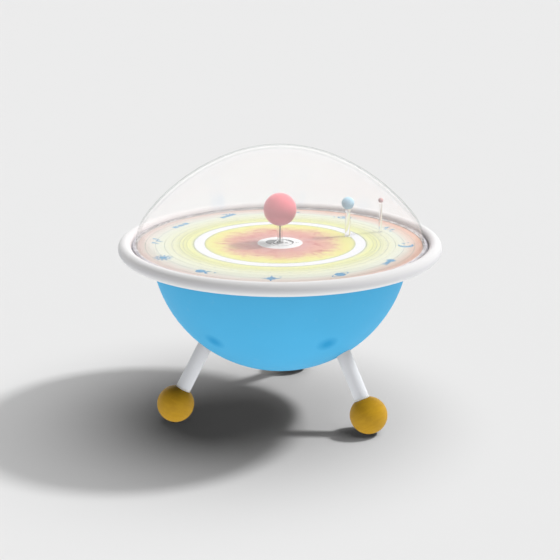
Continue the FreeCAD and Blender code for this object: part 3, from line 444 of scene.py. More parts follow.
def bowl_spot(azimuth, height):
    """A point on the bowl's outside."""
    reach = math.sqrt(BOWL_RADIUS ** 2 - (BOWL_CENTRE - height) ** 2)
    return around(reach, azimuth, height)


def blue_gelcoat():
    """Blue gelcoat, faintly clouded and scuffed, with painted shade in the bowl's shallow dimples.
    """
    finish = Finish("blue_gelcoat")
    x, y, z = finish.axes()
    cloud = finish.noise(3.2, detail=3, rough=0.55)
    speck = finish.noise(140, detail=3, rough=0.6)
    scuff = finish.noise(26, detail=5, rough=0.7, warp=0.4)
    colour = finish.mix(cloud, shade(BOWL_BLUE, 0.93), shade(BOWL_BLUE, 1.06))
    colour = finish.mix(scuff.step(0.60, 0.80) * 0.12, colour, BOWL_SCUFF)
    spots = [bowl_spot(azimuth, height) for azimuth, height in DIMPLES]
    dimple = largest([
        distance(x - spot.x, y - spot.y, (z - spot.z) * DIMPLE_SQUASH).near(0, DIMPLE_SIZE)
        for spot in spots])
    # painted shade: darker blue in the dimples
    colour = finish.mix((dimple * 1.3).clamped() * 0.75, colour, DIMPLE_PAINTED_SHADE)
    finish.set(Base_Color=colour, Roughness=scuff * 0.2 + 0.45, Specular_IOR_Level=0.05)
    finish.bump(speck * 0.4 + scuff * 0.2 - dimple * 2.0, 0.12 * MM, 0.3)
    return finish.material


# painted shading by height on the tube's section, from 0 at its bottom to 1 at its top: greyest a
# little over the middle, lighter towards the top and the bottom
RIM_PAINTED_SHADING = ((0.08, (0.85, 0.85, 0.86)), (0.20, (0.84, 0.84, 0.85)), (0.38, (0.73, 0.73, 0.745)),
              (0.55, (0.675, 0.67, 0.69)), (0.80, (0.685, 0.68, 0.68)), (0.95, (0.735, 0.73, 0.73)),
              (1.0, (0.80, 0.79, 0.79)))
# painted light with a painted pink reflection of the dial, on the tube's inner side
RIM_INSIDE_PAINTED_GLOW = (0.97, 0.89, 0.89)
RIM_SCUFF = (0.62, 0.61, 0.58)


def white_rim():
    """White tube with painted shading, greyest a little over its middle height, and painted light
    with a pink reflection on its inside.
    """
    finish = Finish("white_rim")
    x, y, z = finish.axes()
    inward = distance(x, y).step(RIM_MIDDLE, RIM_MIDDLE - RIM_TUBE)
    cloud = finish.noise(4, detail=3)
    speck = finish.noise(220, detail=3, rough=0.6)
    scuff = finish.noise(38, detail=5, rough=0.72, warp=0.3)
    level = (z - RIM_LEVEL) / RIM_TUBE
    # painted shading: the base colour follows height on the tube's section, standing in for how
    # light falls on it
    colour = finish.ramp((level + 1.0) * 0.5 + (cloud - 0.5) * 0.04, RIM_PAINTED_SHADING)
    # painted light and painted pink reflection on the inner side of the tube
    colour = finish.mix(inward, colour, RIM_INSIDE_PAINTED_GLOW)
    colour = finish.mix(scuff.step(0.62, 0.78) * 0.3, colour, RIM_SCUFF)
    finish.set(Base_Color=colour, Roughness=scuff * 0.25 + 0.25, Specular_IOR_Level=0.2)
    finish.bump(speck, 0.06 * MM, 0.3)
    return finish.material


LEG_WHITES = ((0.84, 0.86, 0.90), (0.91, 0.93, 0.96))
LEG_CHIP = (0.50, 0.51, 0.53)


def white_leg(name="white_leg", matrix=None):
    """White paint on the leg tubes, streaked along them and chipped in small spots."""
    finish = Finish(name)
    if matrix:
        finish.turn_into(matrix)
    cloud = finish.noise(12, detail=3)
    run = finish.noise(70, detail=3, rough=0.6, stretch=(1, 1, 0.15))
    chips = finish.noise(130, detail=4, rough=0.7)
    colour = finish.mix(cloud, *LEG_WHITES)
    colour = finish.mix(chips.step(0.70, 0.76) * 0.4, colour, LEG_CHIP)
    finish.set(Base_Color=colour, Roughness=run * 0.2 + 0.3, Specular_IOR_Level=0.2)
    finish.bump(run + chips * 0.3, 0.05 * MM, 0.35)
    return finish.material


AMBERS = ((0.0, (0.42, 0.225, 0.014)), (0.42, (0.53, 0.295, 0.018)),
          (0.58, (0.58, 0.33, 0.020)), (1.0, (0.68, 0.41, 0.030)))
AMBER_PORE = (0.24, 0.12, 0.010)


def amber_ball(name="amber_ball", matrix=None):
    """Amber lacquer over turned wood, whose grain and pores run round the leg's axis."""
    finish = Finish(name)
    if matrix:
        finish.turn_into(matrix)
    sway = finish.noise(9, detail=3, rough=0.6)
    grain = finish.noise(26, detail=4, rough=0.6, warp=0.8, stretch=(1.0, 1.0, 3.0))
    pores = finish.noise(240, detail=3, rough=0.6, stretch=(1, 1, 5))
    colour = finish.ramp(grain * 0.6 + sway * 0.4, AMBERS)
    colour = finish.mix(pores.step(0.62, 0.8) * 0.25, colour, AMBER_PORE)
    finish.set(Base_Color=colour, Roughness=grain * 0.15 + 0.42, Specular_IOR_Level=0.12,
               Coat_Weight=0.03, Coat_Roughness=0.3)
    finish.bump(grain + pores * 0.5, 0.08 * MM, 0.35)
    return finish.material


def globe_paint(name, dark, light):
    """Painted globe with faint cloudy swirls."""
    finish = Finish(name)
    swirl = finish.noise(34, detail=4, rough=0.6, warp=0.8)
    speck = finish.noise(420, detail=2)
    finish.set(Base_Color=finish.mix(swirl, dark, light), Roughness=swirl * 0.15 + 0.25,
               Specular_IOR_Level=0.3)
    finish.bump(speck, 0.04 * MM, 0.3)
    return finish.material


# The wall's look goes by how edge-on it is seen, from 0 face-on to 1 edge-on.
VEIL = 0.15                   # what the two faces of the wall veil between them
VEIL_CLOUD = 0.03             # how much it varies
EDGE_GREY = (0.77, 0.79, 0.78)
EDGE_BAND = (0.89, 0.95)
SECOND_LINE = (0.795, 0.02)   # middle and half-width of the fainter line inside the edge
GLOW_BAND = (0.85, 0.05)      # the pale line between the two
CLEAR_TINTS = ((0.985, 0.970, 0.965), (1.0, 0.995, 0.99))
FLANGE_TINT = (0.60, 0.57, 0.63)
FLANGE_START = DOME_RADIUS + 1 * MM


def clear_acrylic():
    """Thin clear dome: see-through, hazed by fine scratches, grey where it is seen edge-on."""
    finish = Finish("clear_acrylic")
    tree = finish.tree
    weight = tree.nodes.new("ShaderNodeLayerWeight")
    weight.inputs["Blend"].default_value = 0.5
    facing = Field(tree, weight.outputs["Facing"])
    x, y, _ = finish.axes()
    flange = distance(x, y).step(FLANGE_START, FLANGE_START + 2 * MM)
    cloud = finish.noise(2.6, detail=3, rough=0.55)
    scratches = finish.noise(70, detail=5, rough=0.75, warp=0.6)
    edge = facing.step(*EDGE_BAND).larger(facing.near(*SECOND_LINE) * 0.3)
    tint = finish.mix(cloud, *CLEAR_TINTS)
    finish.set(Base_Color=finish.mix(flange, tint, FLANGE_TINT), Metallic=1.0,
               Roughness=scratches * 0.12 + 0.14)
    finish.bump(scratches, 0.02 * MM, 0.1)
    clear = tree.nodes.new("ShaderNodeBsdfTransparent")
    finish.link(finish.mix(edge, (1.0, 1.0, 1.0), EDGE_GREY), clear.inputs["Color"])
    blend = tree.nodes.new("ShaderNodeMixShader")
    haze = cloud * VEIL_CLOUD + (VEIL - VEIL_CLOUD / 2) / 2 + scratches.step(0.6, 0.8) * 0.01
    finish.link(haze + facing.near(*GLOW_BAND) * 0.14 + flange * 0.35, blend.inputs[0])
    finish.link(clear.outputs[0], blend.inputs[1])
    finish.link(finish.shader.outputs[0], blend.inputs[2])
    finish.link(blend.outputs[0], finish.output.inputs["Surface"])
    return finish.material


ROD_TINTS = ((0.93, 0.92, 0.92), (0.99, 0.985, 0.98))
ACRYLIC_IOR = 1.49


def clear_rod():
    """Clear polished acrylic rod, faintly clouded, with fine marks round it."""
    finish = Finish("clear_rod")
    cloud = finish.noise(14, detail=3)
    marks = finish.noise(60, detail=4, rough=0.6, stretch=(1, 1, 12))
    finish.set(Base_Color=finish.mix(cloud, *ROD_TINTS),
               Roughness=marks * 0.08 + 0.02, Transmission_Weight=1.0, IOR=ACRYLIC_IOR)
    finish.bump(marks, 0.01 * MM, 0.2)
    return finish.material


INK = (0.26, 0.30, 0.27)
PRINT_LINES = (277, 280.5, 319.5, 324, 347, 361, 374, 402, 462, 500)      # radii in mm
LINE_WIDTH = 1.6 * MM
# from and to in mm, marks round the dial, half-width of a mark as a share of its turn
TICK_ROWS = ((270, 277, 72, 0.12), (349, 361, 120, 0.14), (376, 384, 180, 0.14),
             (394, 402, 36, 0.06))
WHITE_RING = (280.5 * MM, 319.5 * MM)
WHITE_MIDDLE = 84 * MM
PRINT_EDGE = 544.5 * MM
PRINT_RADIUS = 550            # in mm, and so are the radii in the next two
MIDDLE_RINGS = ((0, (0.64, 0.31, 0.30)), (95, (0.65, 0.32, 0.30)), (130, (0.70, 0.33, 0.275)),
                (165, (0.71, 0.355, 0.26)), (192, (0.74, 0.46, 0.27)), (214, (0.79, 0.61, 0.28)),
                (234, (0.80, 0.70, 0.26)), (256, (0.80, 0.745, 0.24)), (283, (0.78, 0.765, 0.30)))
OUTER_RINGS = ((321, (0.76, 0.77, 0.42)), (345, (0.80, 0.81, 0.34)), (362, (0.76, 0.765, 0.36)),
               (382, (0.75, 0.76, 0.47)), (402, (0.77, 0.775, 0.54)), (425, (0.77, 0.79, 0.61)),
               (455, (0.76, 0.77, 0.66)), (480, (0.74, 0.70, 0.63)), (500, (0.74, 0.65, 0.585)),
               (515, (0.71, 0.58, 0.53)), (550, (0.65, 0.505, 0.455)))
FLAME_REACH = 130 * MM
EMBER = (0.50, 0.08, 0.07)
EMBER_BELT = (165 * MM, 85 * MM)                # middle and half-width
PALE_WASH = (0.86, 0.80, 0.50)
GREEN_WASH = (0.74, 0.84, 0.72)
MIDDLE_WHITE = (1.0, 1.0, 1.0)
RING_WHITE = (0.87, 0.87, 0.90)
PEACH = (0.80, 0.42, 0.28)
PEACH_BELT = (455 * MM, 540 * MM)               # none before, full after
PEACH_TOWARDS = math.radians(20)
# painted shade in the gap between the dome's flange and the rim
GAP_PAINTED_SHADE = (0.50, 0.48, 0.52)
BOARD_EDGE = (0.80, 0.79, 0.74)


def printed_rings(finish, radius, rings):
    """Colours by radius."""
    stops = [(reach / PRINT_RADIUS, colour) for reach, colour in rings]
    return finish.ramp(radius / (PRINT_RADIUS * MM), stops)


def printed_dial():
    """The dial's print: white middle, red flames into yellow, white ring, scales, cream, peach;
    then painted shade at its edge.
    """
    finish = Finish("printed_dial")
    x, y, _ = finish.axes()
    radius = distance(x, y)
    angle = y.math("ARCTAN2", x)
    swirl = finish.noise(5, detail=4, rough=0.6, warp=0.5)
    wash = finish.noise(22, detail=4, rough=0.65, warp=0.4)
    fibre = finish.noise(300, detail=2)
    spoke = finish.vector(x / radius * 1.9, y / radius * 1.9, radius * 6.0)
    flame = finish.noise(2.4, detail=5, rough=0.68, warp=0.7, place=spoke)
    fleck = finish.noise(38, detail=3, rough=0.65, warp=1.4, stretch=(0.45, 1.6, 1.0))

    heat = radius + (flame - 0.5) * FLAME_REACH
    colour = printed_rings(finish, heat, MIDDLE_RINGS)
    ember = fleck.step(0.53, 0.60) * (heat.near(*EMBER_BELT) * 1.6).clamped()
    colour = finish.mix(ember * 0.8, colour, EMBER)
    colour = finish.mix(wash.step(0.58, 0.75) * 0.35, colour, PALE_WASH)
    colour = finish.mix(radius.below(WHITE_MIDDLE), colour, MIDDLE_WHITE)
    outside = printed_rings(finish, radius + (swirl - 0.5) * (15 * MM), OUTER_RINGS)
    outside = finish.mix(wash.step(0.52, 0.72) * 0.3, outside, GREEN_WASH)
    colour = finish.mix(radius.above(WHITE_RING[1]), colour, outside)
    ring = radius.above(WHITE_RING[0]) * radius.below(WHITE_RING[1])
    colour = finish.mix(ring, colour, RING_WHITE)
    towards = (angle - PEACH_TOWARDS).math("COSINE").step(-0.9, 1.0)
    edge = (radius + (swirl - 0.5) * (30 * MM)).step(*PEACH_BELT)
    colour = finish.mix(edge * towards * towards * 0.95, colour, PEACH)
    # painted shade beyond the print's edge, in the gap by the rim
    colour = finish.mix(radius.above(PRINT_EDGE), colour, GAP_PAINTED_SHADE)

    ink = largest([radius.near(line * MM, LINE_WIDTH) for line in PRINT_LINES])
    turn = angle / (2 * math.pi)
    for start, end, count, width in TICK_ROWS:
        beat = (turn * count).math("FRACT").near(0.5, width)
        ink = ink.larger(beat * radius.above(start * MM) * radius.below(end * MM))
    colour = finish.mix(ink * 0.75, colour, INK)
    colour = finish.mix(finish.facing_up(), BOARD_EDGE, colour)
    finish.set(Base_Color=colour, Roughness=fibre * 0.12 + 0.5, Specular_IOR_Level=0.1)
    finish.bump(ink * 0.5 + fibre * 0.4, 0.05 * MM, 0.3)
    return finish.material


FIGURE_BLUES = ((0.25, (0.010, 0.11, 0.26)), (0.5, (0.03, 0.25, 0.47)),
                (0.8, (0.16, 0.44, 0.62)))


def figure_ink():
    """Uneven blue screen ink."""
    finish = Finish("figure_ink")
    wash = finish.noise(90, detail=4, rough=0.7, warp=0.5)
    finish.set(Base_Color=finish.ramp(wash, FIGURE_BLUES), Roughness=wash * 0.2 + 0.4)
    finish.bump(wash, 0.03 * MM, 0.3)
    return finish.material


PLASTICS = {
    "chart_ink": ((0.07, 0.08, 0.09), dict(rough=0.5, spread=0.25)),
    "cream_ferrule": ((0.95, 0.92, 0.84), dict(rough=0.4)),
    "grey_gasket": ((0.90, 0.84, 0.83), dict(rough=0.6)),
    "black_rubber": ((0.025, 0.025, 0.026), dict(rough=0.75, grain=500, depth=0.12)),
    "black_plastic": ((0.028, 0.028, 0.03), dict(rough=0.42, grain=1200, depth=0.06)),
    "black_lead": ((0.02, 0.02, 0.022), dict(rough=0.5)),
    "red_rocker": ((0.55, 0.03, 0.025), dict(rough=0.25, coat=0.3)),
    "green_board": ((0.02, 0.16, 0.06), dict(rough=0.3, grain=200, depth=0.04, coat=0.3)),
    "lamp_white": ((0.85, 0.85, 0.80), dict(rough=0.35)),
    "acetal_gear": ((0.80, 0.79, 0.74), dict(rough=0.4)),
    "white_laminate": ((0.72, 0.72, 0.68), dict(rough=0.7, grain=160, depth=0.3)),
    "birch_ply": ((0.62, 0.46, 0.28), dict(rough=0.7, grain=90, depth=0.3, spread=0.2)),
    "motor_case": ((0.05, 0.05, 0.055), dict(rough=0.35, coat=0.2)),
}
METALS = {
    "zinc_steel": ((0.58, 0.60, 0.63), dict(rough=0.3)),
    "turned_steel": ((0.50, 0.51, 0.53), dict(rough=0.3)),
    "turned_aluminium": ((0.70, 0.71, 0.72), dict(rough=0.32)),
    "aluminium_plate": ((0.66, 0.67, 0.68), dict(rough=0.38, stretch=(1, 30, 1))),
    "perforated_case": ((0.60, 0.61, 0.62), dict(rough=0.4, stretch=(30, 1, 1))),
    "bronze": ((0.55, 0.36, 0.16), dict(rough=0.4)),
    "brass_pinion": ((0.70, 0.50, 0.20), dict(rough=0.28)),
}
GLOBE_PAINTS = {
    "sun_red": ((0.86, 0.175, 0.215), (0.95, 0.235, 0.275)),
    "planet_blue": ((0.40, 0.66, 0.82), (0.54, 0.77, 0.92)),
    "planet_rose": ((0.68, 0.36, 0.36), (0.76, 0.43, 0.43)),
}


def build_materials():
    """A material for each of the record's slots, and for the inks and the ferrules."""
    return {
        "blue_gelcoat": blue_gelcoat(),
        "white_rim": white_rim(),
        "white_leg": white_leg(),
        "amber_ball": amber_ball(),
        "clear_acrylic": clear_acrylic(),
        "printed_dial": printed_dial(),
        "figure_ink": figure_ink(),
        "polished_post": clear_rod(),
        **{name: globe_paint(name, *shades) for name, shades in GLOBE_PAINTS.items()},
        **{name: plastic(name, colour, **look) for name, (colour, look) in PLASTICS.items()},
        **{name: metal(name, colour, **look) for name, (colour, look) in METALS.items()},
    }


# ---- pieces ------------------------------------------------------------------------------------

def bowl():
    """The bowl's skin with its flange, and a fillet where the two meet."""
    outer, inner = BOWL_RADIUS, BOWL_RADIUS - BOWL_WALL
    start = -math.degrees(math.acos(COVER_RADIUS / outer))
    rise = math.degrees(math.asin((FLANGE_LOW - FLANGE_FILLET - BOWL_CENTRE) / outer))
    profile = arc((0, BOWL_CENTRE), outer, start, rise, 72)
    profile += arc((outer + 3 * MM, FLANGE_LOW - FLANGE_FILLET), FLANGE_FILLET, 180, 90, 5)
    profile += [(FLANGE_RADIUS, FLANGE_LOW), (FLANGE_RADIUS, BOWL_TOP), (inner - 1 * MM, BOWL_TOP)]
    top = math.degrees(math.asin((BOWL_TOP - 2 * MM - BOWL_CENTRE) / inner))
    profile += arc((0, BOWL_CENTRE), inner, top, start, 48)
    return lathe("bowl_skin", profile, BOWL_SEGMENTS)


def boxed_cutter(centre, turn, half):
    """A thick block used to cut a window, in place."""
    corners = [Vector((x * half[0], y * half[1], z * half[2]))
               for z in (-1, 1) for y in (-1, 1) for x in (-1, 1)]
    faces = [(0, 2, 3, 1), (4, 5, 7, 6), (0, 1, 5, 4), (2, 6, 7, 3), (0, 4, 6, 2), (1, 3, 7, 5)]
    return add_mesh("cutter", [centre + turn @ c for c in corners], faces, smooth=False)


def carved(obj, cutter):
    """Cuts a block out of a closed piece."""
    tool = obj.modifiers.new("cut", "BOOLEAN")
    tool.operation = "DIFFERENCE"
    tool.solver = "EXACT"
    tool.object = cutter
    graph = bpy.context.evaluated_depsgraph_get()
    mesh = bpy.data.meshes.new_from_object(obj.evaluated_get(graph))
    obj.modifiers.clear()
    obj.data = mesh
    bpy.data.objects.remove(cutter)
    shade_smoothly(mesh)
    return obj


def panel_window():
    """The window in the bowl's back that the power panel fills."""
    low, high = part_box("power_panel")
    tilt = Matrix.Rotation(PANEL_TILT, 3, "X")
    centre = Vector((0, 0, BOWL_CENTRE)) + tilt @ Vector((0, BOWL_RADIUS, 0))
    half = ((high.x - low.x) / 2 + WINDOW_GAP, WINDOW_DEPTH, PANEL_WIDTH / 2 + WINDOW_GAP)
    return boxed_cutter(centre, tilt, half)


def rim():
    """The rolled tube edge, open where the bowl's flange enters it."""
    inner = RIM_TUBE - RIM_WALL
    drop = RIM_LEVEL - FLANGE_LOW
    middle = (RIM_MIDDLE, RIM_LEVEL)
    lip = -180 + math.degrees(math.asin(drop / RIM_TUBE))
    inner_lip = -180 + math.degrees(math.asin(drop / inner))
    profile = arc(middle, RIM_TUBE, 180, lip, 72)
    profile += arc(middle, inner, inner_lip, 180, 48)
    return lathe("rim_tube", profile, RIM_SEGMENTS)


def dome_profile(offset, steps):
    """Points from the dome's top down to the wall's foot, at that depth inside its outer face."""
    cap_centre = DOME_HIGH.z - DOME_CAP
    run = DOME_CAP_EDGE / DOME_CAP
    rise = math.sqrt(1 - run ** 2)
    middle = (run * (DOME_CAP - DOME_MIDDLE), cap_centre + rise * (DOME_CAP - DOME_MIDDLE))
    reach = DOME_MIDDLE - DOME_SHOULDER
    across = DOME_RADIUS - DOME_SHOULDER - middle[0]
    up = math.sqrt(reach ** 2 - across ** 2)
    first = math.degrees(math.atan2(rise, run))
    second = math.degrees(math.atan2(up, across))
    shoulder = (DOME_RADIUS - DOME_SHOULDER, middle[1] + up)
    points = arc((0, cap_centre), DOME_CAP - offset, 90, first, steps // 2)
    points[0] = (0.0, points[0][1])
    points += arc(middle, DOME_MIDDLE - offset, first, second, steps)[1:]
    return points + arc(shoulder, DOME_SHOULDER - offset, second, 0, steps // 2)[1:]


def dome_shell():
    """The clear dome with a flange that is blended into its wall and rounded at its lip."""
    base = DOME_LOW.z
    wall = dome_profile(0, 60)
    inner = dome_profile(DOME_WALL, 48)
    foot = arc((DOME_RADIUS + DOME_BLEND, DOME_FLANGE_TOP + DOME_BLEND), DOME_BLEND, 180, 270, 6)
    lip = arc((DOME_FLANGE - DOME_LIP, DOME_FLANGE_TOP - DOME_LIP), DOME_LIP, 90, 0, 5)
    profile = wall + foot + lip + [(DOME_FLANGE, base), (DOME_RADIUS - DOME_WALL, base)]
    return lathe("dome_shell", profile + inner[::-1], DOME_SEGMENTS, closed=False)


def leg_matrix(azimuth):
    """From a leg's own axes, with its ball's centre at the origin, to its place."""
    axis = around(-math.sin(LEG_SPLAY), azimuth, math.cos(LEG_SPLAY))
    turn = Vector((0, 0, 1)).rotation_difference(axis).to_matrix().to_4x4()
    return Matrix.Translation(around(FOOT_CIRCLE, azimuth, FOOT_RADIUS)) @ turn


def leg_and_foot(name, azimuth, mats):
    """A leg tube, the ferrule where it leaves its ball, and the ball with a flat under it."""
    matrix = leg_matrix(azimuth)
    end = (LEG_TOP_HEIGHT - FOOT_RADIUS) / math.cos(LEG_SPLAY)
    bore = LEG_RADIUS - LEG_WALL
    tube = [(LEG_RADIUS, LEG_START), (LEG_RADIUS, end), (bore, end), (bore, LEG_START)]
    leg = lathe(f"leg_tube_{name}", rounded(tube, 0.6 * MM), LEG_SEGMENTS, matrix=matrix)
    piece(leg, "stand", white_leg(f"white_leg_{name}", matrix), f"leg_{name}", slot="white_leg")

    low, high = FERRULE_SPAN
    section = [(FERRULE_FIT, low), (FERRULE_RADIUS, low), (FERRULE_RADIUS, high),
               (FERRULE_FIT, high + FERRULE_SLOPE)]
    ferrule = lathe(f"leg_ferrule_{name}", rounded(section, 0.5 * MM), LEG_SEGMENTS, matrix=matrix)
    piece(ferrule, "stand", mats["cream_ferrule"], slot="white_leg")

    socket = LEG_RADIUS + SOCKET_GAP
    start = math.degrees(math.acos((socket + SOCKET_LIP) / FOOT_RADIUS))
    profile = [(socket, LEG_START), (socket, SOCKET_DEPTH - SOCKET_LIP)]
    profile += arc((0, 0), FOOT_RADIUS, start, -90, 72)
    profile[-1] = (0.0, -FOOT_RADIUS)
    ball = lathe(f"foot_knob_{name}", profile + [(0.0, LEG_START)], BALL_SEGMENTS, closed=False,
                 matrix=matrix)
    flatten(ball, PAD_TOP)
    piece(ball, "stand", amber_ball(f"amber_ball_{name}", matrix), f"foot_ball_{name}",
          slot="amber_ball")


def flatten(obj, height):
    """Cuts off what lies below a height and closes the cut."""
    work = bmesh.new()
    work.from_mesh(obj.data)
    geometry = work.verts[:] + work.edges[:] + work.faces[:]
    made = bmesh.ops.bisect_plane(work, geom=geometry, plane_co=(0, 0, height),
                                  plane_no=(0, 0, -1), clear_outer=True)
    edges = [e for e in made["geom_cut"] if isinstance(e, bmesh.types.BMEdge)]
    bmesh.ops.edgeloop_fill(work, edges=edges)
    bmesh.ops.recalc_face_normals(work, faces=work.faces)
    work.to_mesh(obj.data)
    work.free()
    shade_smoothly(obj.data)


# ---- globes and posts --------------------------------------------------------------------------

def middle_of(node):
    low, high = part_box(node)
    return (low + high) / 2


SEAM_DEPTH = 0.25 * MM
SEAM_SHARE = 0.01             # of the radius: the seam's depth on a small globe
SEAM_REACH = 0.03             # of the radius: the seam's half-width
GLOBE_WALL = 1.2 * MM
GLOBE_WALL_SHARE = 0.05       # of the radius: the wall of a large globe


def globe(name, node, body, material, slot):
    """A hollow globe with a fine seam round its middle, open below where its post enters."""
    low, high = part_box(node)
    centre, radius = middle_of(node), (high.x - low.x) / 2
    centre.z = high.z - radius
    mouth = POST_RADII[node] + POST_FIT
    seam = min(SEAM_DEPTH, radius * SEAM_SHARE)
    profile = []
    for r, h in arc((0, 0), radius, -math.degrees(math.acos(mouth / radius)), 90, 72):
        dip = seam * max(0.0, 1 - abs(h) / (radius * SEAM_REACH))
        profile.append((max(0.0, r - dip), h))
    profile[-1] = (0.0, radius)
    hollow = radius - max(GLOBE_WALL, radius * GLOBE_WALL_SHARE)
    inside = arc((0, 0), hollow, 90, -math.degrees(math.acos(mouth / hollow)), 24)
    inside[0] = (0.0, hollow)
    obj = lathe(name, profile + inside, BALL_SEGMENTS, matrix=Matrix.Translation(centre))
    return piece(obj, body, material, node, slot=slot)


def post(name, node, body, material, radius, pin):
    """A rod on a pin, with a rounded collar on the dial and a shallow groove near its top."""
    low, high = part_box(node)
    centre, top = middle_of(node), high.z
    seat, shoulder = DIAL_TOP + 0.02 * MM, (radius, DIAL_TOP + radius * 0.35)
    collar, collar_top = radius + COLLAR_REACH, DIAL_TOP + radius * 0.35 * 0.6
    groove, neck = radius * 0.95, top - radius * 1.6
    profile = [(0.0, low.z), (pin, low.z), (pin, seat), (collar, seat), (collar, collar_top),
               shoulder, shoulder, (radius, neck), (groove, neck + 0.4 * MM),
               (groove, neck + 1.0 * MM), (radius, neck + 1.4 * MM), (radius, top), (0.0, top)]
    obj = lathe(name, rounded(profile, 0.35 * MM, 3), POST_SEGMENTS, closed=False,
                matrix=Matrix.Translation((centre.x, centre.y, 0)))
    return piece(obj, body, material, node, slot="polished_post")


# ---- printed figures ---------------------------------------------------------------------------
# Each figure is a list of closed outlines in millimetres round its own middle.

def disc(x, y, radius, squash=1.0, tilt=0.0, steps=20):
    points = []
    for i in range(steps):
        a = 2 * math.pi * i / steps
        u, v = radius * math.cos(a), radius * squash * math.sin(a)
        points.append((x + u * math.cos(tilt) - v * math.sin(tilt),
                       y + u * math.sin(tilt) + v * math.cos(tilt)))
    return points


def star(x, y, radius, points=5, waist=0.42, turn=math.pi / 2):
    """A star whose inner corners lie at that share of its radius."""
    out = []
    for i in range(points * 2):
        a = turn + math.pi * i / points
        reach = radius * (waist if i % 2 else 1)
        out.append((x + reach * math.cos(a), y + reach * math.sin(a)))
    return out


def streak(x, y, x2, y2, wide, thin):
    """A tapered stroke from one point to another."""
    run = Vector((x2 - x, y2 - y))
    side = Vector((-run.y, run.x)).normalized()
    return [(x + side.x * wide, y + side.y * wide), (x - side.x * wide, y - side.y * wide),
            (x2 - side.x * thin, y2 - side.y * thin), (x2 + side.x * thin, y2 + side.y * thin)]


def band(x, y, radius, width, start, end, squash=1.0, tilt=0.0, taper=False, steps=22):
    """A curved stroke from one angle in degrees to another, as a list of short quads."""
    def spot(reach, angle):
        u, v = reach * math.cos(angle), reach * squash * math.sin(angle)
        return (x + u * math.cos(tilt) - v * math.sin(tilt),
                y + u * math.sin(tilt) + v * math.cos(tilt))
    quads = []
    for i in range(steps):
        spread = []
        for k in (i, i + 1):
            angle = math.radians(start + (end - start) * k / steps)
            half = width / 2 * (math.sin(math.pi * k / steps) + 0.02 if taper else 1)
            spread.append((spot(radius + half, angle), spot(radius - half, angle)))
        (a, b), (c, d) = spread
        quads.append([a, b, d, c])
    return quads


def comet():
    tails = [streak(8, 2, -38, y, 4.5, 0.5) for y in (-10, -3, 5)]
    return [disc(14, 3, 11), star(14, 3, 15, points=8, waist=0.6), *tails]


def ringed_planet():
    return [disc(0, 0, 15), *band(0, 0, 30, 4, 0, 360, squash=0.34, tilt=0.35, steps=36)]


def crescent():
    return [*band(0, 0, 20, 14, 80, 300, taper=True), star(14, 6, 7), star(24, -8, 4)]


def great_star():
    return [star(0, 0, 27, points=4, waist=0.28),
            star(0, 0, 16, points=4, waist=0.4, turn=math.pi / 4), disc(24, 14, 3)]


def star_cluster():
    spots = [(-26, 6, 6), (-12, -8, 9), (2, 8, 7), (14, -4, 10), (28, 9, 5), (20, -15, 4)]
    return [star(x, y, r) for x, y, r in spots]


def spiral():
    arms = [quad for turn in (0, math.pi)
            for quad in band(0, 0, 20, 9, -30, 170, squash=0.6, tilt=turn + 0.3, taper=True)]
    return [disc(0, 0, 9, squash=0.7, tilt=0.3), *arms, disc(30, 12, 3), disc(-31, -10, 3)]


def constellation():
    spots = [(-34, -8), (-18, 6), (-2, 0), (12, 12), (26, 4), (36, -12)]
    lines = [streak(*a, *b, 1.0, 1.0) for a, b in zip(spots, spots[1:])]
    return [*lines, *(disc(x, y, 4.2) for x, y in spots)]


def telescope():
    tube = [streak(-26, -12, 22, 12, 8, 6), streak(22, 12, 32, 17, 7.5, 7.5)]
    legs = [streak(-2, 0, x, -26, 2, 1.2) for x in (-14, 0, 12)]
    return [*tube, *legs]


def satellite():
    wings = [streak(x, 0, x + 18, 0, 8, 8) for x in (-34, 16)]
    return [*wings, disc(0, 0, 10, squash=0.8), streak(-16, 0, 16, 0, 1.5, 1.5),
            *band(0, 12, 9, 3, 200, 340)]


def meteors():
    heads = [(-20, -8), (2, 4), (24, -4)]
    return [*(disc(x, y, 5) for x, y in heads),
            *(streak(x, y, x + 12, y + 20, 4, 0.4) for x, y in heads)]


def sunburst():
    rays = [streak(15 * math.cos(a), 15 * math.sin(a), 29 * math.cos(a), 29 * math.sin(a), 3.4, 0.4)
            for a in (2 * math.pi * i / 12 for i in range(12))]
    return [disc(0, 0, 12), *rays]


def two_moons():
    return [disc(-16, 0, 14), *band(14, 2, 12, 8, 100, 290, taper=True), star(26, 10, 5)]


FIGURES = [great_star, ringed_planet, comet, crescent, star_cluster, spiral, constellation,
           telescope, satellite, meteors, sunburst, two_moons]
FIGURE_CIRCLE = 466 * MM
FIGURE_START = -93.7          # azimuth of the first, in degrees
FIGURE_SCALE = 1.28
PRINT_HEIGHT = 0.3 * MM
PRINT_LIFT = 0.02 * MM        # keeps faces of the print from lying in one plane


def inlay(name, shapes, matrix, body, material, slot):
    """Raised screen print: each closed outline becomes a thin plate on the dial."""
    verts, faces = [], []
    for k, shape in enumerate(shapes):
        low, high = PRINT_LIFT, PRINT_HEIGHT - (k % 5) * PRINT_LIFT
        start, count = len(verts), len(shape)
        verts += [(x * MM, y * MM, low) for x, y in shape]
        verts += [(x * MM, y * MM, high) for x, y in shape]
        faces.append([start + i for i in reversed(range(count))])
        faces.append([start + count + i for i in range(count)])
        faces += [[start + i, start + (i + 1) % count, start + count + (i + 1) % count,
                   start + count + i] for i in range(count)]
    obj = add_mesh(name, verts, faces, smooth=False)
    obj.matrix_world = matrix
    return piece(obj, body, material, slot=slot)


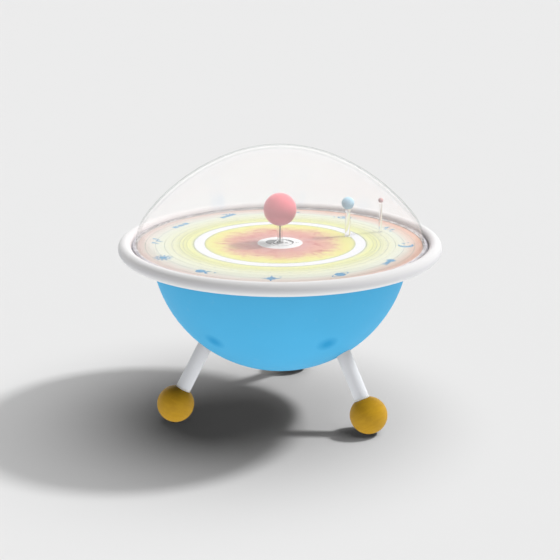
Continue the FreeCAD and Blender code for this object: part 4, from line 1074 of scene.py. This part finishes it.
def figures(mats):
    """Sky figures round the fixed dial ring, their tops towards the middle."""
    scale = Matrix.Diagonal((FIGURE_SCALE, FIGURE_SCALE, 1, 1))
    for i, draw in enumerate(FIGURES):
        azimuth = FIGURE_START + i * 360 / len(FIGURES)
        place = Matrix.Translation(around(FIGURE_CIRCLE, azimuth, DIAL_TOP))
        turn = Matrix.Rotation(math.radians(azimuth + 90), 4, "Z")
        inlay(f"figure_{draw.__name__}", draw(), place @ turn @ scale, "stand",
              mats["figure_ink"], "printed_dial")


def centre_chart(mats):
    """Moon marks on the white middle of the inner dial."""
    shapes = [*band(0, 0, 40, 34, 95, 212, taper=True, steps=30),
              *band(0, 0, 48, 13, -14, 88, taper=True, steps=30),
              *band(0, 0, 47, 3, -125, -8), *band(2, 0, 26, 9, 170, 255, taper=True),
              disc(23, -2, 7, squash=0.8), disc(61, 4, 3.2), disc(69, 3, 2.6)]
    inlay("moon_chart", shapes, Matrix.Translation((0, 0, DIAL_TOP)), "inner_turntable",
          mats["chart_ink"], "printed_dial")


# ---- studio ------------------------------------------------------------------------------------

CAMERA_PLACE = (0.0, -4.8455, 1.9585)
CAMERA_PITCH = math.radians(73.32)
CAMERA_LENS = 86.57           # mm, on a sensor 36 mm wide
SENSOR_WIDTH = 36
CAMERA_REACH = 100
KEY_TOWARDS = Vector((0.636, 0.211, 0.742))
KEY_POWER = 1.67
KEY_SPREAD = math.radians(7)
OVERHEAD_TOWARDS = Vector((0.278, 0.171, 0.945))
OVERHEAD_POWER = 1.93
OVERHEAD_SPREAD = math.radians(68)
SKY_PEAK = 1.36
# strength by the height of a direction, from -1 straight down to 1 straight up
SKY_BANDS = ((-1.0, 0.55), (-0.875, 0.72), (-0.625, 1.04), (-0.4, 1.29), (-0.22, 1.36),
             (-0.075, 1.26), (0.075, 0.96), (0.225, 0.49), (0.4, 0.11), (0.52, 0.0))
SKY_GLOSS = 1.5               # the even room that reflections see
SKY_LEAN = 0.06               # how much brighter the room is towards +X
FILLS = ((Vector((-0.1, -0.45, -0.9)), 1.2), (Vector((0.0, -1.0, 0.3)), 0.4))
FILL_SPREAD = math.radians(90)
FLOOR_PAINT = 0.80
FLOOR_REACH = 60


def camera():
    data = bpy.data.cameras.new("camera")
    data.lens = CAMERA_LENS
    data.sensor_width = SENSOR_WIDTH
    data.clip_end = CAMERA_REACH
    obj = bpy.data.objects.new("camera", data)
    obj.location = CAMERA_PLACE
    obj.rotation_euler = (CAMERA_PITCH, 0, 0)
    bpy.context.scene.collection.objects.link(obj)
    bpy.context.scene.camera = obj


def lamp(name, towards, power, spread, only=None):
    """A sun. Where pieces are given, it lights them alone and casts no shadow."""
    data = bpy.data.lights.new(name, "SUN")
    data.energy = power
    data.angle = spread
    obj = bpy.data.objects.new(name, data)
    obj.rotation_euler = towards.to_track_quat("Z", "Y").to_euler()
    obj.visible_glossy = False
    bpy.context.scene.collection.objects.link(obj)
    if only:
        data.use_shadow = False
        group = bpy.data.collections.new(f"{name}_only")
        for lit in only:
            group.objects.link(lit)
        obj.light_linking.receiver_collection = group


def sky():
    """Soft light from the sides and from under the floor. Reflections see an even white room."""
    world = bpy.data.worlds.new("studio")
    bpy.context.scene.world = world
    world.use_nodes = True
    tree = world.node_tree
    towards = tree.nodes.new("ShaderNodeTexCoord").outputs["Generated"]
    split = tree.nodes.new("ShaderNodeSeparateXYZ")
    tree.links.new(towards, split.inputs[0])
    height = Field(tree, split.outputs[2])
    bands = tree.nodes.new("ShaderNodeValToRGB")
    fill_ramp(bands, [((level + 1) / 2, (strength / SKY_PEAK,) * 3)
                      for level, strength in SKY_BANDS])
    tree.links.new(((height + 1.0) * 0.5).socket, bands.inputs["Fac"])
    lean = Field(tree, split.outputs[0]) * SKY_LEAN + 1.0
    soft = Field(tree, bands.outputs["Color"]) * lean * SKY_PEAK
    path = tree.nodes.new("ShaderNodeLightPath")
    pick = tree.nodes.new("ShaderNodeMix")
    pick.inputs[MIX_NUMBERS[1]].default_value = SKY_GLOSS
    tree.links.new(soft.socket, pick.inputs[MIX_NUMBERS[0]])
    tree.links.new(path.outputs["Is Glossy Ray"], pick.inputs[0])
    background = tree.nodes["Background"]
    background.inputs["Color"].default_value = (1.0, 1.0, 1.0, 1.0)
    tree.links.new(pick.outputs[MIX_NUMBER_OUT], background.inputs["Strength"])


def lights():
    """Key, overhead and sky. The sky stands for diffuse bounces too, so there are none."""
    lamp("key", KEY_TOWARDS, KEY_POWER, KEY_SPREAD)
    lamp("overhead", OVERHEAD_TOWARDS, OVERHEAD_POWER, OVERHEAD_SPREAD)
    sky()
    bpy.context.scene.cycles.diffuse_bounces = 0


def floor():
    """A plain floor, so wide that it fills the view behind the object."""
    verts = [(x * FLOOR_REACH, y * FLOOR_REACH, 0) for x, y in ((-1, -1), (1, -1), (1, 1), (-1, 1))]
    obj = add_mesh("studio_floor", verts, [(0, 1, 2, 3)], smooth=False)
    finish = Finish("studio_floor")
    grain = finish.noise(3, detail=3)
    finish.set(Base_Color=finish.mix(grain, *spread_of((FLOOR_PAINT,) * 3, 0.002)),
               Roughness=0.95, Specular_IOR_Level=0.0)
    obj.data.materials.append(finish.material)
    obj.visible_shadow = False
    obj.visible_diffuse = False


# ---- assembly ----------------------------------------------------------------------------------

def main():
    mats = build_materials()
    for entry in frame["record"]["subparts"]:
        mesh = frame["nodes"][entry["node"]].data
        mesh.materials.clear()
        mesh.materials.append(mats[entry["material_slot"]])
        shade_smoothly(mesh, CAD_SHARP_ANGLE)

    camera()
    lights()
    floor()
    shell = carved(bowl(), panel_window())
    piece(shell, "stand", mats["blue_gelcoat"], "bowl_shell", slot="blue_gelcoat")
    piece(rim(), "stand", mats["white_rim"], "rim_ring", slot="white_rim")
    clear = piece(dome_shell(), "dome", mats["clear_acrylic"], "dome", slot="clear_acrylic")
    clear.visible_shadow = False
    for name, azimuth in LEG_AZIMUTHS.items():
        leg_and_foot(name, azimuth, mats)
    globes = [
        globe("sun_ball", "sun_globe", "stand", mats["sun_red"], "sun_red"),
        globe("blue_planet_ball", "inner_planet", "inner_turntable", mats["planet_blue"],
              "planet_blue"),
        globe("rose_planet_ball", "outer_planet", "outer_turntable", mats["planet_rose"],
              "planet_rose")]
    for i, (towards, power) in enumerate(FILLS):
        lamp(f"fill_{i}", towards, power, FILL_SPREAD, globes)
    post("blue_planet_stem", "inner_planet_post", "inner_turntable", mats["polished_post"],
         POST_RADII["inner_planet"], 4 * MM)
    post("rose_planet_stem", "outer_planet_post", "outer_turntable", mats["polished_post"],
         POST_RADII["outer_planet"], 3 * MM)
    figures(mats)
    centre_chart(mats)
    bpy.context.scene.view_settings.view_transform = "Standard"


main()
